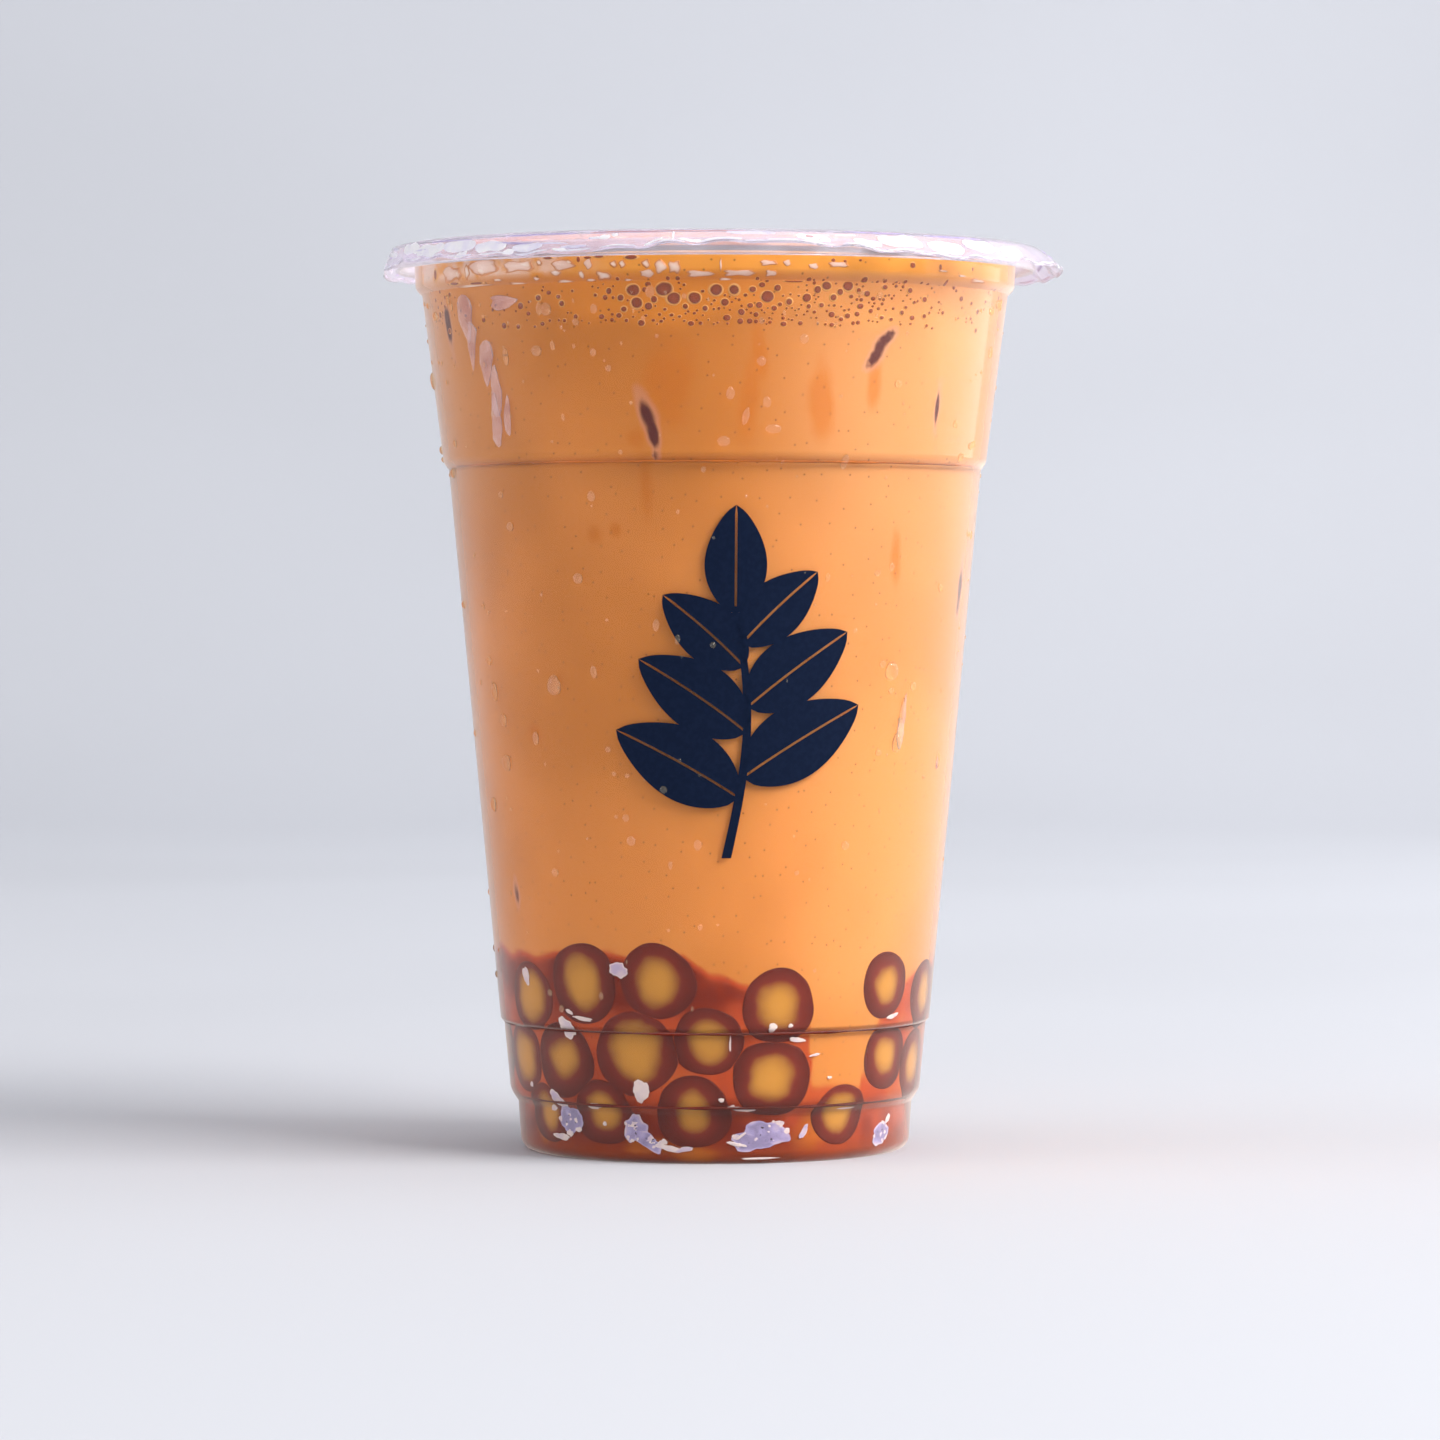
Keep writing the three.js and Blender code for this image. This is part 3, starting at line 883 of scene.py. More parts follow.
def pearl_list(seed):
    """All pearls as (angle, height, radius), those that the front shows first."""
    draws = even_draws(seed)
    pearls = list(SHOWN_PEARLS)
    for height, count, stagger in HIDDEN_ROWS:
        pitch = (HIDDEN_TO - HIDDEN_FROM) / count
        for index in range(count):
            place = index + stagger + (next(draws) - 0.5) * ROW_UNEVENNESS
            raised = height + (next(draws) - 0.5) * 2 * PEARL_SHIFT
            radius = PEARL_RADIUS + (next(draws) - 0.5) * 2 * PEARL_VARIATION
            pearls.append((HIDDEN_FROM + place * pitch, raised, radius))
    return pearls


def pearl_material(settings):
    """Cooked tapioca: a pale starchy core that blurs into a dark syrup-soaked skin."""
    material = new_material("tapioca pearl")
    reach = face_reach(material)
    tone = attribute(material, "tone")
    place = object_place(material)
    uneven = between(material, noise(material, place, 210, 2), 0.3, 0.7, -0.07, 0.07)
    reach = maths(material, "ADD", reach, uneven)
    reach = maths(material, "ADD", reach, between(material, tone, 0, 1, -0.1, 0.1, "LINEAR"))
    core = settings.core_colour
    skin = settings.skin_colour
    halfway = [c * 0.42 + s * 0.58 for c, s in zip(core, skin)]
    stops = (
        (0.0, core),
        (0.3, [c * 0.92 for c in core]),
        (0.44, [c * 0.68 + s * 0.3 for c, s in zip(core, skin)]),
        (0.54, halfway),
        (0.68, [s * 1.3 for s in skin]),
        (0.85, skin),
        (1.0, [s * 0.75 for s in skin]),
    )
    inputs = {
        "Base Color": ramp(material, reach, stops),
        "Roughness": 0.4,
        "Specular IOR Level": 0.08,
    }
    return surface(material, inputs)


def pearl_frames(pearls, press):
    """The middle of each pearl, and the directions round, up and out of the cup there."""
    frames = []
    for angle, height, radius in pearls:
        turn = math.radians(angle)
        out = np.array((math.sin(turn), -math.cos(turn), 0.0))
        side = np.array((math.cos(turn), math.sin(turn), 0.0))
        distance = float(inner_radius(height)) + PEARL_DEPTH - press * radius / PEARL_RADIUS
        frames.append((out * distance + np.array((0, 0, height)), side, out, radius))
    return frames


def pressed_pearl(shape, index, frames, depth):
    """One pearl of the heap, pressed flat on the wall, the floor and its neighbours."""
    middle, side, out, radius = frames[index]
    local = shape * radius
    up = np.array((0, 0, 1.0))
    points = middle + local[:, :1] * side + local[:, 1:2] * up + local[:, 2:3] * out
    for other, (other_middle, _, _, other_radius) in enumerate(frames):
        gap = np.linalg.norm(other_middle - middle)
        if other == index or gap >= radius + other_radius:
            continue
        towards = (other_middle - middle) / gap
        border = (gap ** 2 + radius ** 2 - other_radius ** 2) / (2 * gap) - PEARL_GAP
        excess = np.clip((points - middle) @ towards - border, 0, None)
        points = points - excess[:, None] * towards
    reach, angle, height = round_places(points)
    floor = np.where(reach < FLOOR_RING[0], FLOOR_HEIGHT, FLOOR_RING_HEIGHT)
    height = np.maximum(height, floor + PEARL_FLOOR_GAP)
    reach = np.minimum(reach, inner_radius(height) + depth)
    return from_round(reach, angle, height)


def uneven_ball(shape, bumps):
    """A ball with shallow lumps, because boiled pearls are never quite round."""
    lumps = (
        bumps[0] * np.sin(2.1 * shape[:, 0] + 3 * bumps[1])
        + bumps[2] * np.sin(2.7 * shape[:, 1] + 3 * bumps[3])
        + bumps[4] * np.sin(3.3 * shape[:, 0] * shape[:, 1] + 3 * bumps[5])
    )
    turn = np.arctan2(shape[:, 1], shape[:, 0])
    corners = 0.6 * np.cos(3 * turn + 3 * bumps[6]) + bumps[7] * np.cos(4 * turn + 3 * bumps[8])
    flat = np.hypot(shape[:, 0], shape[:, 1])
    return shape * (1 + LUMP_SHARE * lumps + CORNER_SHARE * corners * flat ** 2)[:, None]


class TEACUP_OT_tapioca_pearls(bpy.types.Operator):
    """Shapes one pearl, and presses a copy of it into each place of the heap over its core"""
    bl_idname = "teacup.tapioca_pearls"
    bl_label = "Tapioca pearls"

    def execute(self, context):
        settings = context.scene.teacup_pearls
        deselect()
        bpy.ops.mesh.primitive_uv_sphere_add(
            segments=PEARL_SEGMENTS, ring_count=PEARL_RINGS, radius=1, location=(0, 0, 0))
        edit("pearl")
        bpy.ops.mesh.select_all(action="SELECT")
        bpy.ops.mesh.vertices_smooth(factor=0.5)
        bpy.ops.object.mode_set(mode="OBJECT")
        template = template_of(bpy.context.object)
        template[0][:] /= np.linalg.norm(template[0], axis=1)[:, None]
        pearls = pearl_list(settings.seed)
        frames = pearl_frames(pearls, settings.press / MM)
        draw = random.Random(settings.seed)
        copies = []
        for index in range(len(pearls)):
            bumps = [draw.uniform(-1, 1) for _ in range(9)]
            shape = uneven_ball(template[0], bumps)
            depth = PEARL_DEPTH + PEARL_DEPTH_SPREAD * draw.random()
            copies.append((pressed_pearl(shape, index, frames, depth), draw.random()))
        heap = joined_copies("tapioca_pearls", template, copies)
        heap.data.materials.append(pearl_material(settings))
        smooth(heap, 60)
        floor = FLOOR_HEIGHT + CORE_LIFT
        shoulder = CORE_TOP - CORE_CROWN
        outline = (
            (0, floor),
            (float(inner_radius(floor)) - CORE_INSET, floor),
            (float(inner_radius(shoulder)) - CORE_INSET, shoulder),
            (float(inner_radius(shoulder)) - 2 * CORE_INSET, CORE_TOP - CORE_EDGE_DROP),
            (0, CORE_TOP),
        )
        core = spun("pearl_core", outline, CORE_STEPS)
        core.data.materials.append(heap.data.materials[0])
        join([heap, core])
        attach(heap, "root")
        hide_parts("pearls")
        return {"FINISHED"}


# The pockets between the pearls: angle, height, half width, half height, turn, tone.
# Tone 0 is lavender air, 0.5 the pinkish grey between, and 1 white, which is milk in some and a painted
# glint on the pearls in the thin ones.
POCKETS = (
    (12.2, 3.6, 3.4, 1.7, 4, 0.08), (15.6, 4.7, 3.0, 1.7, -14, 0.08),
    (-23.4, 5.0, 1.7, 2.2, 6, 0.15), (-20.0, 3.4, 2.6, 1.0, -28, 0.15),
    (-13.6, 2.4, 2.0, 0.45, -10, 0.8), (57.5, 3.4, 2.0, 1.7, 24, 0.15),
    (-49.9, 8.8, 1.6, 0.9, -30, 0.6), (-51.0, 3.2, 1.7, 0.5, 0, 0.85),
    (-20.6, 10.7, 1.3, 1.5, 0, 0.8), (-43.0, 19.4, 1.7, 1.2, -35, 0.7),
    (-46.5, 5.9, 2.2, 2.2, 0, 0.0), (-58.5, 26.6, 0.8, 1.4, 14, 0.75),
    (-25.4, 28.2, 1.4, 1.1, 0, 0.55), (-37.0, 20.9, 1.8, 0.28, -8, 1.0),
    (-41.5, 21.8, 0.7, 0.3, -30, 1.0),
    (15.3, 20.0, 0.65, 0.6, 0, 1.1), (20.2, 20.2, 0.35, 0.3, 0, 1.1), (22.5, 18.1, 1.1, 0.4, -8, 0.9),
    (7.6, 8.2, 1.7, 0.35, -6, 1.1), (4.6, 8.5, 0.5, 0.25, 20, 1.1), (1.8, 9.5, 0.4, 0.3, 0, 1.1),
    (40.5, 7.8, 1.5, 0.14, 2, 1.0), (4.1, 17.6, 0.14, 1.1, 0, 1.0), (54.6, 20.8, 1.3, 0.35, 8, 0.85),
    (-36.0, 8.2, 1.3, 0.4, 0, 0.85), (6.2, 3.0, 1.5, 0.25, -14, 1.0), (7.6, 4.2, 0.8, 0.2, 40, 1.0),
    (13.0, 0.9, 3.0, 0.14, 0, 0.95), (33.0, 12.4, 0.35, 0.25, 0, 0.9), (28.0, 15.8, 0.9, 0.18, 14, 0.85),
    (-9.0, 2.2, 1.2, 0.4, 10, 0.6), (-53.5, 7.4, 0.7, 0.5, 20, 0.8), (61.0, 5.5, 0.8, 0.5, 50, 0.9),
    (-33.5, 5.6, 0.35, 0.3, 0, 0.9), (26.5, 4.6, 1.0, 0.5, 60, 0.35), (-62.0, 10.5, 0.5, 0.35, 0, 0.8),
)
# The large pockets of air, those up to this tone, have bright flecks, the whitest of them painted
# glints, and dark specks in them and knobs on their outline.
AIR_TONE = 0.25
FLECKS = 9
SPECKS = 3
KNOBS = 5
FLECK_TONES = (0.0, 0.12, 0.7, 1.1)
SPECK_TONE = -1.0
KNOB_TONE = 0.82
SPECK_COLOUR = linear(58, 34, 44)
# How uneven the outlines are: how many waves, and their size.
POCKET_WAVES = ((2, 0.16), (3, 0.13), (5, 0.09), (8, 0.06), (13, 0.04))
# How thick a pocket is, how far it sinks in, how much higher each next one lies, and the lowest
# height that any reaches.
POCKET_THICKNESS = 0.05
POCKET_SINK = 0.04
POCKET_STEP = 0.0012
POCKET_LOWEST = 0.5


def pocket_material(settings):
    """Air and milk on the inside of the wall: lavender daylight to white, the white partly painted
    glints, with a pale edge and dark specks.
    """
    material = new_material("air pocket")
    tone = attribute(material, "tone")
    reach = face_reach(material)
    place = object_place(material)
    cells = node(material, "ShaderNodeTexVoronoi", {"Vector": place, "Scale": 620.0})
    mottled = between(material, cells.outputs["Distance"], 0.1, 0.7, 0.16, -0.1)
    wide = between(material, noise(material, place, 260, 2), 0.35, 0.65, -0.12, 0.12)
    share = maths(material, "ADD", tone, maths(material, "ADD", mottled, wide))
    share = maths(material, "ADD", share, between(material, reach, 0.72, 0.98, 0.0, 0.35))
    pink = [0.5 * (a + m) for a, m in zip(settings.lavender_colour, settings.milk_and_glint_colour)]
    pink[0] *= 1.05
    stops = (
        (0.0, [a * 0.72 for a in settings.lavender_colour]),
        (0.22, settings.lavender_colour),
        (0.55, pink),
        (0.9, settings.milk_and_glint_colour),
    )
    colour = ramp(material, share, stops)
    colour = mix(material, between(material, tone, -0.5, -0.2, 0.9, 0.0), colour, SPECK_COLOUR)
    inputs = {
        "Base Color": colour,
        "Roughness": 0.3,
        "Specular IOR Level": 0.3,
        "Normal": bump(material, cells.outputs["Distance"], 0.5, 0.2),
    }
    return surface(material, inputs)


def pocket_places(draw):
    """Every pocket with its flecks, specks and knobs, in the order that they lie on each other."""
    places = []
    for angle, height, half_width, half_height, turn, tone in POCKETS:
        places.append((angle, height, half_width, half_height, turn, tone))
        if tone > AIR_TONE or half_width < 1:
            continue
        for kind in KNOBS * ["knob"] + FLECKS * ["fleck"] + SPECKS * ["speck"]:
            way = draw.uniform(0, 2 * math.pi)
            far = draw.uniform(0.8, 1.0) if kind == "knob" else draw.uniform(0, 0.72)
            size = draw.uniform(0.1, 0.18) if kind == "speck" else draw.uniform(0.2, 0.5)
            across = far * half_width * math.cos(way)
            up = far * half_height * math.sin(way)
            shade = KNOB_TONE if kind == "knob" else SPECK_TONE
            if kind == "fleck":
                shade = draw.choice(FLECK_TONES)
            spot = angle + math.degrees(across / float(inner_radius(height)))
            wide = size * draw.uniform(0.7, 1.6)
            places.append((spot, height + up, wide, size, draw.uniform(-60, 60), shade))
    return places


class TEACUP_OT_air_pockets(bpy.types.Operator):
    """Lays uneven pockets of air and specks of milk on the inside of the wall"""
    bl_idname = "teacup.air_pockets"
    bl_label = "Air pockets"

    def execute(self, context):
        settings = context.scene.teacup_pockets
        template = lens_template("pocket", 40, 4)
        shape = template[0]
        round_angle = np.arctan2(shape[:, 1], shape[:, 0])
        draw = random.Random(settings.seed)
        copies = []
        for order, pocket in enumerate(pocket_places(draw)):
            angle, height, half_width, half_height, turn, tone = pocket
            uneven = sum(
                draw.uniform(0.3, 1) * size * np.sin(count * round_angle + draw.uniform(0, 6.3))
                for count, size in POCKET_WAVES
            )
            ragged = shape.copy()
            ragged[:, :2] *= (1 + uneven)[:, None]
            lift = POCKET_DEPTH - POCKET_SINK + POCKET_STEP * order
            points = bent_copy(ragged, (angle, height), (half_width, half_height), turn,
                               lift=lift, depth=POCKET_THICKNESS)
            points[:, 2] = np.maximum(points[:, 2], POCKET_LOWEST)
            copies.append((points, tone))
        pockets = joined_copies("air_pockets", template, copies)
        pockets.data.materials.append(pocket_material(settings))
        smooth(pockets, 60)
        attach(pockets, "root")
        return {"FINISHED"}


# The largest bubbles of the froth: angle, height, half width, half height.
LARGE_BUBBLES = (
    (-9.6, 125.3, 1.38, 1.18), (-15.1, 123.4, 1, 0.97), (-7.9, 124, 1.19, 1.01),
    (-3.9, 124.1, 1.13, 0.96), (0.2, 125.2, 1.13, 0.96), (3.7, 125.2, 0.94, 0.94),
    (10, 124.3, 1.07, 0.9), (21.7, 125.9, 0.88, 0.78), (26.2, 125.9, 0.94, 0.84),
    (17.8, 124.2, 0.75, 0.71), (14.3, 123.6, 0.63, 0.65), (-15.7, 125.3, 1.13, 0.96),
    (23.2, 124.3, 0.68, 0.65), (-12.7, 123, 0.63, 0.59), (7.2, 125.3, 0.63, 0.53),
    (-18.2, 124.2, 0.57, 0.59), (8.5, 123.1, 0.57, 0.52), (5.1, 122.1, 0.57, 0.52),
    (-20.5, 125.2, 0.5, 0.52), (-11.6, 123.9, 0.57, 0.59), (-5.6, 122.9, 0.5, 0.52),
    (1.9, 123.5, 0.68, 0.65), (12, 125.5, 0.57, 0.59), (19.9, 125.4, 0.63, 0.65),
    (24.6, 125.1, 0.57, 0.59), (28.5, 125.4, 0.5, 0.52), (-17.6, 122.6, 0.57, 0.52),
    (-1.8, 122.6, 0.5, 0.52), (11.4, 122.7, 0.5, 0.46), (20.8, 123.2, 0.5, 0.46),
)
# Pale patches in the neck, partly trapped air and partly painted reflection: angle, height, half width,
# half height, how square, tone.
# Tone 0.7 is a pinkish patch, and 1 a painted highlight in it.
PALE_PATCHES = (
    (-59.5, 128.6, 2.6, 1.0, 5, 0.7), (-49, 129.2, 3.2, 1.05, 6, 0.7), (-49.5, 128.7, 1.3, 0.65, 3, 1),
    (-54, 128.7, 0.6, 0.9, 4, 1), (-57.5, 128.5, 0.5, 0.8, 4, 1), (-39.5, 129, 2.6, 0.8, 5, 0.7),
    (-38, 129.2, 1.35, 0.55, 3, 1), (-34.5, 129.4, 0.5, 0.45, 2, 1), (-31, 127.9, 0.9, 0.35, 2, 0.95),
    (-29.2, 129, 1.9, 0.7, 4, 0.65), (-28, 129.3, 0.6, 0.45, 2, 1), (-25.6, 127.6, 0.45, 0.5, 2, 1),
    (-24, 129, 0.7, 0.7, 2, 0.6), (-19, 128.9, 0.6, 0.55, 2, 1), (-17.3, 128.9, 0.55, 0.55, 2, 1),
    (-21.1, 127.4, 1.1, 0.55, 3, 0.95), (-12.8, 128.9, 0.65, 0.65, 2, 1),
    (-10, 128.5, 0.85, 0.85, 3, 0.85), (-7.4, 128.4, 0.85, 0.9, 3, 0.85),
    (-12.7, 127.6, 1, 0.45, 3, 0.65), (1.1, 128.7, 0.16, 0.8, 3, 1),
    (-2.7, 127.5, 1.9, 0.38, 4, 0.65), (4.6, 127.6, 2.1, 0.38, 4, 0.65), (10, 129, 1.2, 0.4, 4, 0.65),
    (10.5, 127.6, 0.8, 0.4, 3, 0.7), (13.4, 129, 0.55, 0.4, 3, 0.7), (18.5, 128.6, 0.7, 0.4, 3, 0.65),
    (23.5, 128.9, 1.5, 0.4, 4, 0.6), (48, 128.6, 1, 0.16, 3, 1), (60, 127.7, 2.2, 0.2, 3, 1),
    (54, 128.1, 0.9, 0.16, 3, 0.9), (-54, 126.9, 4.6, 0.2, 4, 0.95), (-41, 126.8, 1.7, 0.26, 3, 1),
    (-45.5, 127.4, 1, 0.2, 3, 1), (-29.7, 126.8, 1.4, 0.26, 3, 0.95), (-35.7, 127.3, 0.7, 0.26, 2, 1),
    (-24, 126.9, 0.8, 0.2, 3, 0.95), (-16.5, 126.8, 0.6, 0.2, 3, 0.9), (2, 126.8, 0.9, 0.2, 3, 0.9),
)
# Dark hollows under the film's edge: angle, height, half width, half height.
DARK_HOLLOWS = (
    (-15.5, 129.8, 1.2, 0.4), (-24, 129.9, 0.7, 0.2), (-21.8, 130, 1, 0.25), (-32.5, 130, 0.9, 0.2),
    (-66.8, 128.8, 0.7, 1), (39.9, 129.2, 0.55, 0.5), (22.4, 129.5, 0.35, 0.3), (15, 126.5, 1.7, 0.2),
    (39, 127, 0.45, 0.3), (36.9, 126.9, 0.27, 0.2), (32.5, 126.8, 0.25, 0.25), (43.2, 127, 0.3, 0.2),
    (49.8, 127.1, 0.35, 0.55), (47.2, 129.1, 0.3, 0.5), (-59.5, 127.4, 1.8, 0.2),
    (-52, 127.2, 1.9, 0.18), (-26, 129.7, 0.3, 0.45),
    (24.8, 129.4, 0.25, 0.25), (28, 129.6, 0.3, 0.2), (57.5, 129.2, 0.25, 0.35),
)
# The small bubbles: their angles and the one where most are, their heights, what share of them
# is anywhere round the cup, their smallest size and how much larger they get, and how much of
# another bubble they keep clear of.
FROTH_FROM = -26
FROTH_TO = 44
FROTH_PEAK = 6
FROTH_LOW = 120.4
FROTH_HIGH = 127.0
FROTH_ANYWHERE = 0.4
BUBBLE_SIZE = 0.19
BUBBLE_GROWTH = 0.46
BUBBLE_CLEARANCE = 0.95
# How far every bubble lies over the tea, and how thick it is.
BUBBLE_LIFT = 0.02
BUBBLE_THICKNESS = 0.12


def squared(shape, power):
    """A round template drawn out towards a rounded square as power grows from 2."""
    length = np.hypot(shape[:, 0], shape[:, 1]) + 1e-9
    sums = np.abs(shape[:, 0] / length) ** power + np.abs(shape[:, 1] / length) ** power
    wide = shape.copy()
    wide[:, :2] /= (sums ** (1 / power))[:, None]
    return wide


def froth_material(settings):
    """Wet froth: each bubble is dark inside and has a light ring, and the pale patches in the neck are
    partly trapped air and partly painted highlights.
    """
    material = new_material("tea froth")
    reach = face_reach(material)
    tone = attribute(material, "tone")
    hole = settings.hole_colour
    edge = settings.edge_colour
    cloud = between(material, noise(material, object_place(material), 420, 1), 0.3, 0.7, -0.12, 0.12)
    reach = maths(material, "ADD", reach, cloud)
    dark = ramp(material, reach, (
        (0.0, [h * 1.25 for h in hole]),
        (0.5, hole),
        (0.68, [h * 0.8 for h in hole]),
        (0.8, [0.5 * (h + e) for h, e in zip(hole, edge)]),
        (0.9, edge),
        (1.0, [e * 0.8 for e in edge]),
    ))
    # The pale patches: white painted highlights, and pinkish ones that are partly trapped air and partly
    # painted reflection.
    pale = ramp(material, reach, (
        (0.0, linear(248, 228, 214)),
        (0.5, linear(240, 208, 188)),
        (0.74, linear(220, 160, 112)),
        (0.88, linear(198, 118, 62)),
        (1.0, linear(226, 146, 74)),
    ))
    pinkish = ramp(material, reach, (
        (0.0, linear(244, 214, 198)),
        (0.72, linear(236, 196, 174)),
        (0.86, linear(208, 136, 84)),
        (1.0, linear(226, 146, 74)),
    ))
    pale = mix(material, between(material, tone, 0.7, 0.95, 0, 1, "LINEAR"), pinkish, pale)
    colour = mix(material, between(material, tone, 0.2, 0.4, 0, 1, "LINEAR"), dark, pale)
    inputs = {"Base Color": colour, "Roughness": 0.2}
    return surface(material, inputs)


class TEACUP_OT_froth(bpy.types.Operator):
    """Lays the froth's bubbles on the wall, the large ones in place and the small ones drawn"""
    bl_idname = "teacup.froth"
    bl_label = "Froth"

    def execute(self, context):
        settings = context.scene.teacup_froth
        template = lens_template("bubble", 16, 3)
        shape = template[0]
        placed = [(a, h, w, t, 2, 0.0) for a, h, w, t in LARGE_BUBBLES + DARK_HOLLOWS]
        placed += PALE_PATCHES
        draw = random.Random(settings.seed)
        for _ in range(settings.small_count):
            if draw.random() < FROTH_ANYWHERE:
                angle = draw.uniform(-180, 180)
            else:
                angle = draw.triangular(FROTH_FROM, FROTH_TO, FROTH_PEAK)
            height = FROTH_HIGH - (FROTH_HIGH - FROTH_LOW) * draw.random() ** 1.2
            size = BUBBLE_SIZE + BUBBLE_GROWTH * draw.random() ** 1.7
            across = math.radians(angle) * MEAN_RADIUS
            clear = all(
                math.hypot(across - math.radians(a) * MEAN_RADIUS, height - h)
                > size + BUBBLE_CLEARANCE * max(w, t)
                for a, h, w, t, _, _ in placed
            )
            if clear:
                placed.append((angle, height, size, size * draw.uniform(0.75, 1.0), 2, 0.0))
        copies = []
        for angle, height, half_width, half_height, square, tone in placed:
            outline = squared(shape, square)
            if tone > 0.5:
                outline[:, 1] *= 1 + 0.24 * np.sin(3.2 * outline[:, 0] + angle)
                outline[:, 0] += 0.14 * np.sin(4 * outline[:, 1] + height)
            points = bent_copy(outline, (angle, height), (half_width, half_height),
                               lift=TEA_DEPTH + BUBBLE_LIFT, depth=BUBBLE_THICKNESS)
            copies.append((points, tone))
        froth = joined_copies("froth_bubbles", template, copies)
        froth.data.materials.append(froth_material(settings))
        smooth(froth, 60)
        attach(froth, "root")
        return {"FINISHED"}


# Painted shade lines behind the moulded rings, coloured like syrup, where each ledge darkens the tea:
# height, half height, depth under the surface.
GROOVES = ((8.3, 0.24, 0.28), (19.1, 0.25, 0.29), (101.1, 0.2, 0.25))
GROOVE_STEPS = 180
GROOVE_SIDES = 8


def groove_material(settings):
    """Painted shade under the ledges, coloured like thin syrup: dark red-brown in the bottom and amber
    higher up.
    """
    material = new_material("groove syrup")
    place = object_place(material)
    high = node(material, "ShaderNodeSeparateXYZ", {0: place}).outputs["Z"]
    uneven = between(material, noise(material, place, 60, 2), 0.35, 0.65)
    syrup = settings.syrup_colour
    amber = settings.amber_colour
    low_tone = mix(material, uneven, syrup, [c * 0.5 for c in syrup])
    high_tone = mix(material, uneven, amber, [c * 0.62 for c in amber])
    colour = mix(material, between(material, high, 0.03, 0.06), low_tone, high_tone)
    inputs = {"Base Color": colour, "Roughness": 0.5, "Specular IOR Level": 0.1}
    return surface(material, inputs)


class TEACUP_OT_groove_shade(bpy.types.Operator):
    """Shapes one ring of painted shade for each moulded ledge and lays it in the groove behind"""
    bl_idname = "teacup.groove_syrup"
    bl_label = "Groove syrup"

    def execute(self, context):
        settings = context.scene.teacup_tea
        rings = []
        for height, half_height, depth in GROOVES:
            radius = float(outer_radius(height)) - depth
            deselect()
            bpy.ops.mesh.primitive_torus_add(
                major_radius=radius * MM, minor_radius=half_height * MM,
                major_segments=GROOVE_STEPS, minor_segments=GROOVE_SIDES,
                location=(0, 0, height * MM))
            ring = edit("groove_syrup")
            finish_edit(ring)
            points = points_of(ring)
            _, angle, level = round_places(points)
            swell = 0.85 + 0.35 * np.sin(7 * angle + height) * np.sin(17 * angle + 2)
            points[:, 2] = height + (level - height) * swell
            move_points(ring, points)
            rings.append(ring)
        grooves = join(rings)
        grooves.name = "groove_syrup"
        grooves.data.materials.append(groove_material(settings))
        smooth(grooves, 60)
        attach(grooves, "root")
        return {"FINISHED"}


# The froth on top of the tea: its level, how thick it is, the rings and steps of its mesh, and
# how high it swells.
CAP_TOP = 132.2
CAP_DEPTH = 0.6
CAP_RING = 1.5
CAP_STEPS = 160
CAP_SWELL = 0.09
# Its bubbles: how many, the smallest and the largest, how deep they sit and how high they stand.
CAP_BUBBLES = 620
CAP_BUBBLE_SIZES = (0.35, 2.4)
CAP_BUBBLE_SINK = 0.08
CAP_BUBBLE_HEIGHT = 0.55
CAP_EDGE_GAP = 0.3
CAP_COLOURS = (linear(222, 152, 92), linear(198, 116, 60))
CAP_BUBBLE_COLOUR = linear(240, 200, 148)


def cap_material():
    """Froth on top of the tea: clouds of two browns, and bubbles of which some are paler."""
    material = new_material("froth cap")
    place = object_place(material)
    tone = attribute(material, "tone")
    cloud = noise(material, place, 120, 2)
    colour = mix(material, between(material, cloud, 0.35, 0.65), *CAP_COLOURS)
    pale = between(material, tone, 0, 1, 0, 0.6, "LINEAR")
    colour = mix(material, pale, colour, CAP_BUBBLE_COLOUR)
    inputs = {"Base Color": colour, "Roughness": 0.25, "Specular IOR Level": 0.4}
    return surface(material, inputs)


class TEACUP_OT_froth_cap(bpy.types.Operator):
    """Spins the layer of froth on the tea and sets bubbles on it"""
    bl_idname = "teacup.froth_cap"
    bl_label = "Froth cap"

    def execute(self, context):
        settings = context.scene.teacup_froth
        edge = float(inner_radius(DRINK_LEVEL)) + TEA_DEPTH
        bottom = CAP_TOP - CAP_DEPTH
        level = [(float(radius), CAP_TOP) for radius in np.arange(edge, 0.5, -CAP_RING)]
        cap = spun("froth_cap", [(0, bottom), (edge, bottom), *level, (0, CAP_TOP)], CAP_STEPS)
        points = points_of(cap)
        across = points[:, 0]
        along = points[:, 1]
        swell = np.sin(across / 3.1) * np.sin(along / 2.6) + 0.5 * np.sin(across + along)
        points[:, 2] += np.where(points[:, 2] > CAP_TOP - 0.1, CAP_SWELL * swell, 0)
        move_points(cap, points)
        set_attribute(cap, "tone", np.zeros(len(points)))
        template = lens_template("cap_bubble", 14, 3)
        draw = random.Random(settings.seed)
        low, high = CAP_BUBBLE_SIZES
        copies = []
        for _ in range(CAP_BUBBLES):
            size = low + (high - low) * draw.random() ** 4
            far = (edge - size - CAP_EDGE_GAP) * math.sqrt(draw.random())
            way = draw.uniform(0, 2 * math.pi)
            place = np.array((far * math.sin(way), -far * math.cos(way), CAP_TOP - CAP_BUBBLE_SINK))
            rise = min(CAP_BUBBLE_HEIGHT, 0.5 * size)
            copies.append((template[0] * (size, size, rise) + place, draw.random()))
        bubbles = joined_copies("cap_bubbles", template, copies)
        smooth(bubbles, 60)
        smooth(cap, 60)
        join([cap, bubbles])
        cap.data.materials.append(cap_material())
        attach(cap, "root")
        return {"FINISHED"}


